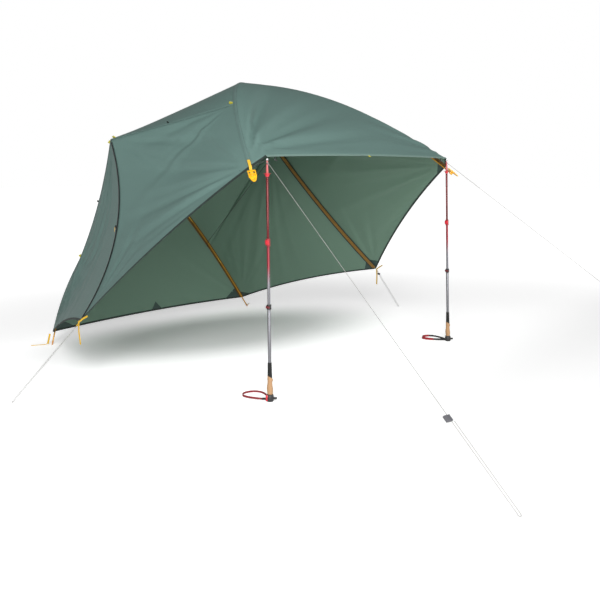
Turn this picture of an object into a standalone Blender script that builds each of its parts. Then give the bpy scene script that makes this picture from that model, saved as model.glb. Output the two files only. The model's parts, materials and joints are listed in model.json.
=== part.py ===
# A light tent pitched as an open shelter: the fly hangs on its own hubbed pole frame, the rear feet
# stand on the ground and the front hem is lifted on two trekking poles that stand upside down.
# Metres, +Z up. +X runs along the front hem, +Y from the lifted front to the rear feet.
import math

import bmesh
import bpy
import numpy as np
from mathutils import Matrix, Vector

for old in list(bpy.data.objects):
    bpy.data.objects.remove(old, do_unlink=True)

# Pitch
FLOOR_LENGTH = 2.143  # rear feet to front hem, along the tilted floor
FLOOR_WIDTH = 1.76
FRONT_LIFT = 1.15  # height of the front hem
ORIGIN_BACK = 0.920  # from the front hem back to the middle of the whole pitch

# Pole frame, seen in the tent's own tilted frame: a along the floor, w sideways, h above the floor
HUB_INSET = 0.54
HUB_HEIGHT = 0.868
PEAK_HEIGHT = 1.020
PEAK_ROUND = 0.14  # share of the half spine that the bend at the peak takes
RIDGE_HALF = 0.70
RIDGE_END_HEIGHT = 0.812
SHOULDER_SHARE = 0.25
SHOULDER_HEIGHT = 0.804
KNEE_SHARE = 0.71
KNEE_HEIGHT = 0.56
FRONT_CORNER_PULL = 0.060  # the front corners hang this far behind the hem
FRONT_CORNER_DROP = 0.017
POLE_RADIUS = 0.0045
POLE_DROP = 0.017  # pole centre inside the cloth
CROSS_GAP = 0.0115  # spine centre to ridge pole centre
HEM_SHARE = 0.955  # where the rear hem ends on its leg
TAB_SHARE = 0.66  # where the roof's fold line meets the leg

# Vestibule wings
WING_ALONG = 0.997
WING_HALF = 1.285
WING_DROP = 0.227
ZIP_BOW = 0.110
ZIP_BOW_FORWARD = 0.43
HEM_ARCH = 0.036
HEM_TUCK = 0.015

# Cloth
CLOTH = 0.0012
SEAM_GAP = 0.0005
ZIP_GAP = 0.0016
FOLD_DEPTH = 0.010
TAPE_HALF = 0.026
CHAIN_RADIUS = 0.0022
CHAIN_OFFSET = 0.0055
SLIDER_LENGTH = 0.012

# Hubs, clips and pole tips
HUB_RADIUS = 0.0135
HUB_THICK = 0.0168
ARM_RADIUS = 0.0076
ARM_LENGTH = 0.046
SOCKET_START = 0.015
SOCKET_RADIUS = 0.0053
CLIP_SIZE = 0.024
POLE_REACH = 0.066  # how far a front leg runs on past its corner
CORNER_REACH = 0.108  # the same, for the buckle that holds its end
BUCKLE_LENGTH = 0.076
BUCKLE_WIDTH = 0.038
BUCKLE_EYE = 0.0045
TIP_LENGTH = 0.024
TIP_BALL = 0.0036

# Trekking poles, measured from the tip down
TREK_INSET = 0.068  # from a front corner in to its pole
TREK_HALF = FLOOR_WIDTH / 2 - TREK_INSET
TREK_SPLAY = 0.029
TREK_BASE_HALF = TREK_HALF + TREK_SPLAY
TREK_BASE_FORWARD = 0.036
TREK_TIP_BELOW_HEM = 0.004
FERRULE_END = 0.085
BASKET_AT = 0.072
BASKET_RADIUS = 0.0175
LOWER_RADIUS = 0.0060
MIDDLE_RADIUS = 0.0070
UPPER_RADIUS = 0.0082
TUBE_WALL = 0.0006
LOWER_LOCK_AT = 0.378
UPPER_LOCK_AT = 0.688
TUBE_OVERLAP = 0.170
FOAM_AT = 0.959
CORK_AT = 1.027
HEAD_AT = 1.113
LOWER_LOCK_LENGTH = 0.034
UPPER_LOCK_LENGTH = 0.023
LOCK_WALL = 0.0034
STRAP_LOOP_LENGTH = 0.152
STRAP_LOOP_HALF = 0.050
SLIDE_GAP = 0.0004
GAP = 0.0003

# Cords
GUY_RADIUS = 0.0011
TIE_RADIUS = 0.0015
TENSIONER_SHARE = 0.788
STRAND_GAP = 0.013
FRONT_PEG = (1.218, -1.483)  # sideways, and behind the front hem
SIDE_PEG = (1.658, 0.881)
TIE_SHARE = 0.632

TILT = math.asin(FRONT_LIFT / FLOOR_LENGTH)
FOOT_BACK = FLOOR_LENGTH * math.cos(TILT)
MIDDLE = FLOOR_LENGTH / 2
INSIDE = (MIDDLE, 0.0, 0.35)
TILES = 8
WALL_COLUMNS = 12
ROOF_COLUMNS = 6


def ground(x, back, up):
    """A point in the world, from its distance behind the front hem."""
    return Vector((x, back - ORIGIN_BACK, up))


def world(p):
    """A point of the tilted tent frame (a, w, h) in the world."""
    a, w, h = p
    back = FOOT_BACK - a * math.cos(TILT) + h * math.sin(TILT)
    return ground(w, back, a * math.sin(TILT) + h * math.cos(TILT))


def unit(v):
    return v / np.linalg.norm(v)


# Lines of the tent in its tilted frame


def legPoint(t, side, front):
    """A leg of the frame, from its hub at t 0 to its foot at t 1."""
    hub = np.array([FLOOR_LENGTH - HUB_INSET, 0.0, HUB_HEIGHT])
    if front:
        end = np.array([FLOOR_LENGTH - FRONT_CORNER_PULL, FLOOR_WIDTH / 2, -FRONT_CORNER_DROP])
    else:
        end = np.array([FLOOR_LENGTH, FLOOR_WIDTH / 2, 0.0])
    shoulder = hub + (end - hub) * SHOULDER_SHARE
    knee = hub + (end - hub) * KNEE_SHARE
    shoulder[2], knee[2] = SHOULDER_HEIGHT, KNEE_HEIGHT
    s = 1 - t
    p = s**3 * hub + 3 * s**2 * t * shoulder + 3 * s * t**2 * knee + t**3 * end
    along = p[0] if front else FLOOR_LENGTH - p[0]
    return np.array([along, side * p[1], p[2]])


def rounded(t):
    """0 at the peak and 1 at the end, straight but for a bend at the peak."""
    bend = PEAK_ROUND
    return (math.hypot(t, bend) - bend) / (math.hypot(1, bend) - bend)


def spinePoint(t, front):
    along = (MIDDLE - HUB_INSET) * t * (1 if front else -1)
    return np.array([MIDDLE + along, 0.0, PEAK_HEIGHT - (PEAK_HEIGHT - HUB_HEIGHT) * rounded(t)])


def ridgePoint(t, side):
    drop = (PEAK_HEIGHT - RIDGE_END_HEIGHT) * rounded(t)
    return np.array([MIDDLE, side * RIDGE_HALF * t, PEAK_HEIGHT - drop])


def foldPoint(t, side, front):
    """The tight line from a ridge end to the tab on a leg; it sags inwards a little at the rear."""
    start, end = ridgePoint(1, side), legPoint(TAB_SHARE, side, front)
    sag = np.array([0, -side * (0.004 if front else 0.03), -0.004])
    return start * (1 - t) + end * t + sag * 4 * t * (1 - t)


def wingTip(side):
    return np.array([WING_ALONG, side * WING_HALF, -WING_DROP])


def zipArc(side):
    """The zip lies on an arc: its centre, the middle of the chord, both directions and the radius."""
    top, tip = ridgePoint(1, side), wingTip(side)
    chord = np.linalg.norm(tip - top)
    along = (tip - top) / chord
    inward = np.array([ZIP_BOW_FORWARD, -side * 0.87, -0.49])
    inward = unit(inward - along * (inward @ along))
    radius = chord * chord / (8 * ZIP_BOW) + ZIP_BOW / 2
    centre = (top + tip) / 2 - inward * (radius - ZIP_BOW)
    return centre, along, inward, radius, math.asin(chord / 2 / radius)


def zipPoint(t, side, out=0.0):
    """A point of the zip, out metres outside the cloth."""
    centre, along, inward, radius, half = zipArc(side)
    turn = half * (2 * t - 1)
    return centre + (radius - out) * (along * math.sin(turn) + inward * math.cos(turn))


def hemPoint(t, side, front):
    """A wing's lower edge, arched from the wing tip to the corner."""
    end = legPoint(1.0 if front else HEM_SHARE, side, front)
    arch = np.array([0, -side * HEM_TUCK, HEM_ARCH])
    return wingTip(side) * (1 - t) + end * t + arch * 4 * t * (1 - t)


def trekHem(side):
    return np.array([FLOOR_LENGTH, side * TREK_HALF, 0.004])


def endHemPoint(u, front):
    """The lower edge of an end panel from the left corner, u 0, to the right corner, u 1."""
    share = 1.0 if front else HEM_SHARE
    left, right = legPoint(share, -1, front), legPoint(share, 1, front)
    if not front:
        return left * (1 - u) + right * u + np.array([0, 0, 0.02]) * 4 * u * (1 - u)
    step = 1 / TILES / 2
    if u < step:
        return left + (trekHem(-1) - left) * u / step
    if u > 1 - step:
        return right + (trekHem(1) - right) * (1 - u) / step
    k = (u - step) / (1 - 2 * step)
    return trekHem(-1) * (1 - k) + trekHem(1) * k + np.array([0, 0, 0.012]) * 4 * k * (1 - k)


# Objects


def material(name, colour, roughness=0.6, metallic=0.0):
    made = bpy.data.materials.get(name)
    if made is None:
        made = bpy.data.materials.new(name)
        made.use_nodes = True
        shader = made.node_tree.nodes["Principled BSDF"]
        shader.inputs["Base Color"].default_value = (*colour, 1)
        shader.inputs["Roughness"].default_value = roughness
        shader.inputs["Metallic"].default_value = metallic
    return made


def cloth():
    return material("fly_cloth", (0.13, 0.21, 0.19), 0.55)


def anodised():
    return material("anodised_gold", (0.55, 0.30, 0.04), 0.3, 0.9)


def blackPlastic():
    return material("black_plastic", (0.02, 0.02, 0.022), 0.5)


def yellowPlastic():
    return material("yellow_plastic", (0.85, 0.50, 0.03), 0.4)


def yellowWebbing():
    return material("yellow_webbing", (0.70, 0.52, 0.05), 0.8)


def paintedRed():
    return material("red_anodised", (0.45, 0.02, 0.03), 0.35, 0.6)


def greyShaft():
    return material("grey_anodised", (0.20, 0.20, 0.21), 0.35, 0.7)


def carbide():
    return material("pale_red_tip", (0.55, 0.12, 0.12), 0.4, 0.2)


def foam():
    return material("black_foam", (0.02, 0.02, 0.02), 0.95)


def cork():
    return material("cork", (0.50, 0.31, 0.14), 0.9)


def whiteCord():
    return material("white_cord", (0.70, 0.68, 0.62), 0.8)


def blackCord():
    return material("black_cord", (0.015, 0.02, 0.018), 0.8)


def newObject(name, mesh, finish):
    made = bpy.data.objects.new(name, mesh)
    bpy.context.scene.collection.objects.link(made)
    mesh.materials.append(finish)
    return made


def meshOf(points, faces, name):
    mesh = bpy.data.meshes.new(name)
    mesh.from_pydata([tuple(p) for p in points], [], faces)
    shape = bmesh.new()
    shape.from_mesh(mesh)
    bmesh.ops.remove_doubles(shape, verts=shape.verts, dist=1e-6)
    bmesh.ops.recalc_face_normals(shape, faces=shape.faces)
    shape.to_mesh(mesh)
    shape.free()
    return mesh


def guide(cutter):
    cutter.hide_render = True
    cutter.display_type = "WIRE"
    return cutter


def boolean(target, tool, operation):
    step = target.modifiers.new(operation.lower(), "BOOLEAN")
    step.operation = operation
    step.object = guide(tool)


def basis(origin, up, side=(0, 0, 1)):
    """A frame at origin whose local Z runs along up and whose local X leans to side."""
    z = Vector(up).normalized()
    x = Vector(side) - z * Vector(side).dot(z)
    if x.length < 1e-4:
        x = z.orthogonal()
    x.normalize()
    turn = Matrix((x, z.cross(x), z)).transposed().to_4x4()
    return Matrix.Translation(Vector(origin)) @ turn


def turned(name, profile, finish, sides=12, place=None):
    """A turned piece: profile points (radius, along), spun about local Z. One that starts and ends
    on the axis is solid, and any other is a ring."""
    shape = bmesh.new()
    verts = [shape.verts.new((r, 0, z)) for r, z in profile]
    edges = [shape.edges.new((a, b)) for a, b in zip(verts, verts[1:])]
    if profile[0][0] > 0:
        edges.append(shape.edges.new((verts[-1], verts[0])))
    bmesh.ops.spin(shape, geom=verts + edges, cent=(0, 0, 0), axis=(0, 0, 1), angle=2 * math.pi,
                   steps=sides, use_merge=True)
    bmesh.ops.remove_doubles(shape, verts=shape.verts, dist=1e-6)
    bmesh.ops.recalc_face_normals(shape, faces=shape.faces)
    mesh = bpy.data.meshes.new(name)
    shape.to_mesh(mesh)
    shape.free()
    made = newObject(name, mesh, finish)
    mesh.shade_smooth()
    mesh.set_sharp_from_angle(angle=math.radians(40))
    if place is not None:
        made.matrix_world = place
    return made


def plate(name, outline, thick, finish, place=None):
    """A flat piece: an outline in local XY, extruded along local Z from 0."""
    shape = bmesh.new()
    face = shape.faces.new([shape.verts.new((x, y, 0)) for x, y in outline])
    made = bmesh.ops.extrude_face_region(shape, geom=[face])
    moved = [g for g in made["geom"] if isinstance(g, bmesh.types.BMVert)]
    bmesh.ops.translate(shape, verts=moved, vec=(0, 0, thick))
    bmesh.ops.recalc_face_normals(shape, faces=shape.faces)
    mesh = bpy.data.meshes.new(name)
    shape.to_mesh(mesh)
    shape.free()
    piece = newObject(name, mesh, finish)
    if place is not None:
        piece.matrix_world = place
    return piece


def rectangle(low, high):
    return [(low[0], low[1]), (high[0], low[1]), (high[0], high[1]), (low[0], high[1])]


def block(name, low, high, finish, place=None):
    shift = Matrix.Translation((0, 0, low[2]))
    where = shift if place is None else place @ shift
    return plate(name, rectangle(low, high), high[2] - low[2], finish, where)


def rod(name, radius, start, end, finish, sides=12, place=None):
    return turned(name, [(0, start), (radius, start), (radius, end), (0, end)], finish, sides, place)


def ring(name, inner, outer, start, end, finish, sides=12, place=None):
    profile = [(outer, end), (outer, start), (inner, start), (inner, end)]
    return turned(name, profile, finish, sides, place)


def cordCurve(name, points, radius, finish, resolution=2):
    """A round tube along the points, with its ends filled."""
    curve = bpy.data.curves.new(name, "CURVE")
    curve.dimensions = "3D"
    curve.bevel_depth = radius
    curve.bevel_resolution = resolution
    curve.use_fill_caps = True
    line = curve.splines.new("POLY")
    line.points.add(len(points) - 1)
    for at, p in zip(line.points, points):
        at.co = (*p, 1)
    made = bpy.data.objects.new(name, curve)
    bpy.context.scene.collection.objects.link(made)
    curve.materials.append(finish)
    return made


def ribbon(name, points, across, width, thick, finish):
    """A flat strap along the points, its width along across."""
    corners, faces = [], []
    for i, p in enumerate(points):
        run = (Vector(points[min(i + 1, len(points) - 1)]) - Vector(points[max(i - 1, 0)])).normalized()
        wide = (Vector(across) - run * Vector(across).dot(run)).normalized()
        deep = run.cross(wide)
        for x, y in ((-1, -1), (1, -1), (1, 1), (-1, 1)):
            corners.append(Vector(p) + wide * x * width / 2 + deep * y * thick / 2)
    for i in range(len(points) - 1):
        for k in range(4):
            n = (k + 1) % 4
            faces.append((4 * i + k, 4 * i + n, 4 * i + 4 + n, 4 * i + 4 + k))
    last = 4 * len(points) - 4
    faces += [(0, 1, 2, 3), (last, last + 1, last + 2, last + 3)]
    return newObject(name, meshOf(corners, faces, name), finish)


def swept(name, rings, finish):
    """A solid through rings of the same number of points."""
    points = [p for ring in rings for p in ring]
    count = len(rings[0])
    faces = []
    for i in range(len(rings) - 1):
        for k in range(count):
            n = (k + 1) % count
            faces.append((i * count + k, i * count + n, (i + 1) * count + n, (i + 1) * count + k))
    last = (len(rings) - 1) * count
    faces += [tuple(range(count)), tuple(range(last, last + count))]
    return newObject(name, meshOf(points, faces, name), finish)


def smooth(points):
    """Points of the smooth curve through a route; short steps stay short where the route bends."""
    route = [Vector(p) for p in points]
    gaps = [(q - p).length for p, q in zip(route, route[1:])]
    slopes = [(q - p) / h for p, q, h in zip(route, route[1:], gaps)]
    ways = [slopes[0]]
    for i in range(1, len(slopes)):
        ways.append((slopes[i - 1] * gaps[i] + slopes[i] * gaps[i - 1]) / (gaps[i] + gaps[i - 1]))
    ways.append(slopes[-1])
    fine = []
    for p, q, h, m, n in zip(route, route[1:], gaps, ways, ways[1:]):
        steps = 2 if 0.005 < h < 0.06 else 1
        for k in range(steps):
            t = k / steps
            fine.append(p * (2 * t**3 - 3 * t**2 + 1) + m * h * (t**3 - 2 * t**2 + t)
                        + q * (3 * t**2 - 2 * t**3) + n * h * (t**3 - t**2))
    return fine + [route[-1]]


# Cloth panels


def coons(near, far, left, right, u, v):
    """A surface stretched over four edge curves that share their corners."""
    edges = (1 - v) * near(u) + v * far(u) + (1 - u) * left(v) + u * right(v)
    corners = ((1 - u) * (1 - v) * near(0) + u * (1 - v) * near(1)
               + (1 - u) * v * far(0) + u * v * far(1))
    return edges - corners


def inset(rows, edges):
    """The grid with the named outer rows or columns pulled in: a seam's gap, or the zip's."""
    grid = [list(row) for row in rows]
    high, wide = len(grid), len(grid[0])
    for name, edge, near in (("top", 0, 1), ("bottom", high - 1, high - 2)):
        for j in range(wide):
            step = (rows[near][j] - rows[edge][j]).normalized()
            grid[edge][j] = grid[edge][j] + step * edges.get(name, 0)
    for name, edge, near in (("first", 0, 1), ("last", wide - 1, wide - 2)):
        for i in range(high):
            step = (rows[i][near] - rows[i][edge]).normalized()
            grid[i][edge] = grid[i][edge] + step * edges.get(name, 0)
    return grid


def normals(rows):
    """The outward unit normal at every point of a grid."""
    inside = world(INSIDE)
    high, wide = len(rows), len(rows[0])
    found = []
    for i in range(high):
        line = []
        for j in range(wide):
            down = rows[min(i + 1, high - 1)][j] - rows[max(i - 1, 0)][j]
            over = rows[i][min(j + 1, wide - 1)] - rows[i][max(j - 1, 0)]
            n = down.cross(over).normalized()
            line.append(n if n.dot(rows[i][j] - inside) > 0 else -n)
        found.append(line)
    return found


def clothSheet(name, grids, finish, thick=CLOTH):
    """Cloth sewn from one or more grids that share their edges, given its thickness outwards."""
    points, faces = [], []
    for rows in grids:
        first, wide = len(points), len(rows[0])
        points += [p for row in rows for p in row]
        for i in range(len(rows) - 1):
            for j in range(wide - 1):
                k = first + i * wide + j
                faces.append((k, k + 1, k + wide + 1, k + wide))
    mesh = meshOf(points, faces, name)
    inside = world(INSIDE)
    if sum(f.normal.dot(f.center - inside) * f.area for f in mesh.polygons) < 0:
        mesh.flip_normals()
    made = newObject(name, mesh, finish)
    mesh.shade_smooth()
    body = made.modifiers.new("thickness", "SOLIDIFY")
    body.thickness = thick
    body.offset = 1.0
    return made


def roofPoint(u, v, front):
    """The roof over one half of the spine; u runs from the left fold, -1, to the right, 1."""
    side = -1 if u < 0 else 1
    return coons(lambda k: ridgePoint(k, side), lambda k: legPoint(TAB_SHARE * k, side, front),
                 lambda k: spinePoint(k, front), lambda k: foldPoint(k, side, front), abs(u), v)


def wallPoint(u, v, side, front):
    """A side wall; u runs from the zip to the leg and v from the fold line to the hem."""
    last = 1.0 if front else HEM_SHARE
    return coons(lambda k: foldPoint(k, side, front), lambda k: hemPoint(k, side, front),
                 lambda k: zipPoint(k, side),
                 lambda k: legPoint(TAB_SHARE + (last - TAB_SHARE) * k, side, front), u, v)


def endPoint(u, t, front):
    """An end panel; t runs down the two legs and u from the left leg to the right one."""
    last = 1.0 if front else HEM_SHARE
    left, right = legPoint(t, -1, front), legPoint(t, 1, front)
    foot = legPoint(last, -1, front) * (1 - u) + legPoint(last, 1, front) * u
    return left * (1 - u) + right * u + (endHemPoint(u, front) - foot) * (t / last) ** 4


def wallFold(u, v, front):
    """How far a main fold stands out of a wall: they fan from the ridge end down to the corner."""
    fade = math.sin(math.pi * u) * math.sin(math.pi * v) ** 0.8
    waves = 2.0 if front else 3.0
    depth = FOLD_DEPTH * (0.5 if front else 1.0)
    return depth * fade * math.sin(2 * math.pi * waves * u + 1.5 * v)


def sheetRows(at, us, vs):
    return [[world(at(u, v)) for u in us] for v in vs]


def wallRows(side, front):
    us = [k / WALL_COLUMNS for k in range(WALL_COLUMNS + 1)]
    vs = [k / TILES for k in range(TILES + 1)]
    flat = sheetRows(lambda u, v: wallPoint(u, v, side, front), us, vs)
    out = normals(flat)
    folded = [[p + n * wallFold(u, v, front) for p, n, u in zip(row, line, us)]
              for row, line, v in zip(flat, out, vs)]
    return inset(folded, {"top": SEAM_GAP, "first": ZIP_GAP})


def makeHalf(name, front):
    """One half of the fly below the roof: a wall on each side, sewn to the panel between the legs."""
    left, right = wallRows(-1, front), wallRows(1, front)
    last = 1.0 if front else HEM_SHARE
    hem = 1 / TILES / 2
    across = [0.0, hem, *[hem + (1 - 2 * hem) * k / TILES for k in range(1, TILES)], 1 - hem, 1.0]
    upper = sheetRows(lambda u, t: endPoint(u, t, front), across,
                      [0.02, *[TAB_SHARE * k / TILES for k in range(1, TILES)]])
    upper = inset(upper, {"top": SEAM_GAP, "first": SEAM_GAP, "last": SEAM_GAP})
    lower = sheetRows(lambda u, t: endPoint(u, t, front), across,
                      [TAB_SHARE + (last - TAB_SHARE) * k / TILES for k in range(TILES + 1)])
    for row, leftRow, rightRow in zip(lower, left, right):
        row[0], row[-1] = leftRow[-1], rightRow[-1]
    return clothSheet(name, [left, right, upper + lower], cloth())


def makeRoof():
    us = [k / ROOF_COLUMNS for k in range(-ROOF_COLUMNS, ROOF_COLUMNS + 1)]
    rear = sheetRows(lambda u, v: roofPoint(u, v, False), us, [k / TILES for k in range(TILES, 0, -1)])
    front = sheetRows(lambda u, v: roofPoint(u, v, True), us, [k / TILES for k in range(TILES + 1)])
    rows = inset(rear + front, dict.fromkeys(("top", "bottom", "first", "last"), SEAM_GAP))
    return clothSheet("fly_roof", [rows], cloth())


def addTabs(panel, spots):
    """Webbing tabs that stand off the cloth: where they are, where they point and their width's way."""
    for at, out, wide in spots:
        tab = block("tab", (-0.006, -0.0009, 0.0004), (0.006, 0.0009, 0.018), cloth(), basis(at, out, wide))
        boolean(panel, tab, "UNION")


def makeFly():
    inside = world(INSIDE)
    roof = makeRoof()
    spots = []
    for side in (-1, 1):
        for front in (True, False):
            for u, v in ((0.985, 0.03), (0.985, 0.485), (0.98, 0.97)):
                at = world(roofPoint(side * u, v, front))
                run = world(roofPoint(side * u, v + 0.02, front)) - at
                spots.append((at, at - inside, run))
    addTabs(roof, spots)
    for front, name in ((True, "fly_front"), (False, "fly_rear")):
        half = makeHalf(name, front)
        share = 0.998 if front else HEM_SHARE - 0.002
        down = Vector((0, -1, -0.6)) if front else Vector((0, 1, -0.4))
        spots = [(world(endPoint(0.5, share, front)), down, (1, 0, 0))]
        if front:
            spots += [(world(endPoint(u, share, True)), Vector((0, -0.1, -1)), (1, 0, 0)) for u in (0.095, 0.905)]
        addTabs(half, spots)


# Zips


def makeZip(side, word):
    """The zip as sewn in: a broad tape inside that follows both panels, and the chain outside."""
    shares = zipShares()
    door = sheetRows(lambda u, v: wallPoint(u, v, side, True), [0.0, 0.02], shares)
    wall = sheetRows(lambda u, v: wallPoint(u, v, side, False), [0.0, 0.02], shares)
    centre = world(zipArc(side)[0])
    rings = []
    for ahead, behind in zip(door[1:-1], wall[1:-1]):
        at = ahead[0]
        out = (centre - at).normalized()
        forward = (ahead[1] - ahead[0]).normalized()
        back = (behind[1] - behind[0]).normalized()
        run = forward.cross(out).normalized()
        wide = out.cross(run)
        profile = [at - out * 0.0035 + wide * 0.0005, at - out * 0.0030 + forward * TAPE_HALF,
                   at - out * 0.0040 + forward * TAPE_HALF, at - out * 0.0052,
                   at - out * 0.0040 + back * TAPE_HALF, at - out * 0.0030 + back * TAPE_HALF,
                   at - out * 0.0035 - wide * 0.0005]
        chain = [(-0.0005, -CHAIN_RADIUS), (-CHAIN_RADIUS, -0.0008), (-CHAIN_RADIUS, 0.0008),
                 (-0.0008, CHAIN_RADIUS), (0.0008, CHAIN_RADIUS), (CHAIN_RADIUS, 0.0008),
                 (CHAIN_RADIUS, -0.0008), (0.0005, -CHAIN_RADIUS)]
        profile += [at + out * (CHAIN_OFFSET + y) + wide * x for x, y in chain]
        rings.append(profile)
    return swept(f"zip_{word}", rings, material("gold_tape", (0.24, 0.13, 0.02), 0.7))


def zipShares():
    steps = 2 * TILES
    return [k / steps for k in range(steps + 1)]


def makeSlider(side, word):
    """The slider straddles the chain, and its pull hangs beside it."""
    centre, along, inward, radius, half = zipArc(side)
    at = world(zipPoint(0.5, side, CHAIN_OFFSET))
    run = (world(zipPoint(0.51, side)) - world(zipPoint(0.49, side))).normalized()
    out = (world(centre) - at).normalized()
    frame = basis(at, run, out)
    body = block(f"zip_slider_{word}", (0.0, -0.0058, -SLIDER_LENGTH / 2), (0.0068, 0.0058, SLIDER_LENGTH / 2),
                 blackPlastic(), frame)
    groove = block("groove", (-0.01, -0.0040, -SLIDER_LENGTH), (0.0036, 0.0040, SLIDER_LENGTH),
                   blackPlastic(), frame)
    boolean(body, groove, "DIFFERENCE")
    pull = block("pull", (0.0060, -0.0035, 0.001), (0.0076, 0.0035, 0.031), yellowPlastic(), frame)
    boolean(body, pull, "UNION")
    axis = (world(np.array(centre) + np.cross(along, inward)) - world(centre)).normalized()
    report(f"zip_slider_{word}", world(centre), axis, f"half range {math.degrees(half):.1f} deg")


# Pole frame


def within(p, drop):
    """A point that far inside the cloth."""
    p = np.array(p, float)
    return world(p + unit(np.array(INSIDE) - p) * drop)


def cut(points, first, last):
    """The polyline without its first and last stretch."""
    pts = [Vector(p) for p in points]
    for take in (first, last):
        left = take
        while left > (pts[1] - pts[0]).length:
            left -= (pts[1] - pts[0]).length
            pts.pop(0)
        pts[0] = pts[0] + (pts[1] - pts[0]).normalized() * left
        pts.reverse()
    return pts


def legRoute(side, front):
    upper = [TAB_SHARE * k / TILES for k in range(TILES)]
    shares = upper + [TAB_SHARE + (1 - TAB_SHARE) * k / 6 for k in range(7)]
    return [within(legPoint(t, side, front), POLE_DROP) for t in shares]


def spineRoute():
    rear = [within(spinePoint(k / TILES, False), POLE_DROP) for k in range(TILES, 0, -1)]
    front = [within(spinePoint(k / TILES, True), POLE_DROP) for k in range(TILES + 1)]
    return rear + front


def ridgeRoute():
    drop = POLE_DROP + CROSS_GAP
    left = [within(ridgePoint(k / TILES, -1), drop) for k in range(TILES, 0, -1)]
    right = [within(ridgePoint(k / TILES, 1), drop) for k in range(TILES + 1)]
    return left + right


def footCut(route):
    """How much a rear leg gives up so that its tip stands on the ground."""
    run = (route[-1] - route[-2]).normalized()
    height = TIP_LENGTH * abs(run.z) - 0.0005
    return (height - route[-1].z) / abs(run.z)


def makeFoot(word, end, run):
    """The turned foot pushed on the end of a rear leg, worn flat where it stands."""
    profile = [(0, GAP), (0.0054, GAP), (0.0054, 0.006), (0.0036, 0.010), (0.0036, 0.016),
               (TIP_BALL + 0.001, 0.0185), (TIP_BALL + 0.001, 0.0215), (0.0020, TIP_LENGTH), (0, TIP_LENGTH)]
    foot = turned(f"foot_{word}", profile, blackPlastic(), 10, basis(end, run))
    boolean(foot, block("floor", (-2, -2, -0.2), (2, 2, 0.0), blackPlastic()), "DIFFERENCE")


def makeFrame():
    hubRuns = {True: [], False: []}
    for front, end in ((True, "front"), (False, "rear")):
        for side, word in ((-1, "left"), (1, "right")):
            route = legRoute(side, front)
            hubRuns[front].append((route[1] - route[0]).normalized())
            if front:
                route[-1] = cornerFrame(side) @ Vector((0, 0, POLE_REACH))
            route = cut(route, SOCKET_START + 0.001, 0 if front else footCut(route))
            cordCurve(f"leg_{end}_{word}", route, POLE_RADIUS, anodised())
            if not front:
                makeFoot(word, route[-1], route[-1] - route[-2])
    spine = spineRoute()
    hubRuns[False].append((spine[1] - spine[0]).normalized())
    hubRuns[True].append((spine[-2] - spine[-1]).normalized())
    spine = cut(spine, SOCKET_START + 0.001, SOCKET_START + 0.001)
    cordCurve("spine_pole", spine, POLE_RADIUS, anodised())
    cordCurve("ridge_pole", cut(ridgeRoute(), 0.020, 0.020), POLE_RADIUS, anodised())
    for front, end in ((True, "front"), (False, "rear")):
        makeHub(f"hub_{end}", within(spinePoint(1, front), POLE_DROP), hubRuns[front])
    makeRidgeClip()


def makeHub(name, centre, runs):
    """A moulded hub: three sockets round a thick disc."""
    up = (runs[1] - runs[0]).cross(runs[2] - runs[0]).normalized()
    hub = rod(name, HUB_RADIUS, -HUB_THICK / 2, HUB_THICK / 2, blackPlastic(), 12,
              basis(centre, up, runs[2]))
    lean = up + (runs[0] - runs[1]).normalized() * 0.13
    for run in runs:
        arm = rod("arm", ARM_RADIUS, 0.003, ARM_LENGTH, blackPlastic(), 10, basis(centre, run, lean))
        boolean(hub, arm, "UNION")
    for run in runs:
        bore = rod("bore", SOCKET_RADIUS, SOCKET_START, ARM_LENGTH + 0.01, blackPlastic(), 10,
                   basis(centre, run, lean))
        boolean(hub, bore, "DIFFERENCE")
    return hub


def makeRidgeClip():
    """The block that holds the ridge pole under the spine where they cross."""
    spine = within(spinePoint(0, True), POLE_DROP)
    ridge = within(ridgePoint(0, 1), POLE_DROP + CROSS_GAP)
    up = (spine - ridge).normalized()
    forward = (world((MIDDLE + 0.1, 0, PEAK_HEIGHT)) - world((MIDDLE, 0, PEAK_HEIGHT))).normalized()
    frame = basis((spine + ridge) / 2, up, forward)
    half = CLIP_SIZE / 2
    reach = CROSS_GAP / 2
    clip = block("ridge_clip", (-half, -half, -reach - 0.009), (half, half, reach + 0.007),
                 blackPlastic(), frame)
    for where, run in ((spine, forward), (ridge, Vector((1, 0, 0)))):
        bore = rod("bore", 0.0066, -0.03, 0.03, blackPlastic(), 10, basis(where, run, up))
        boolean(clip, bore, "DIFFERENCE")


# Trekking poles


def trekFrame(side):
    """The pole's own frame: local Z runs from the tip down to the head, local X towards the viewer."""
    tip = ground(side * TREK_HALF, 0, FRONT_LIFT - TREK_TIP_BELOW_HEM)
    base = ground(side * TREK_BASE_HALF, -TREK_BASE_FORWARD, 0)
    return basis(tip, base - tip, (-0.75, -0.66, 0)), (base - tip).length


def tubePiece(name, outer, start, end, finish, place):
    return ring(name, outer - TUBE_WALL, outer, start, end, finish, 12, place)


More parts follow.
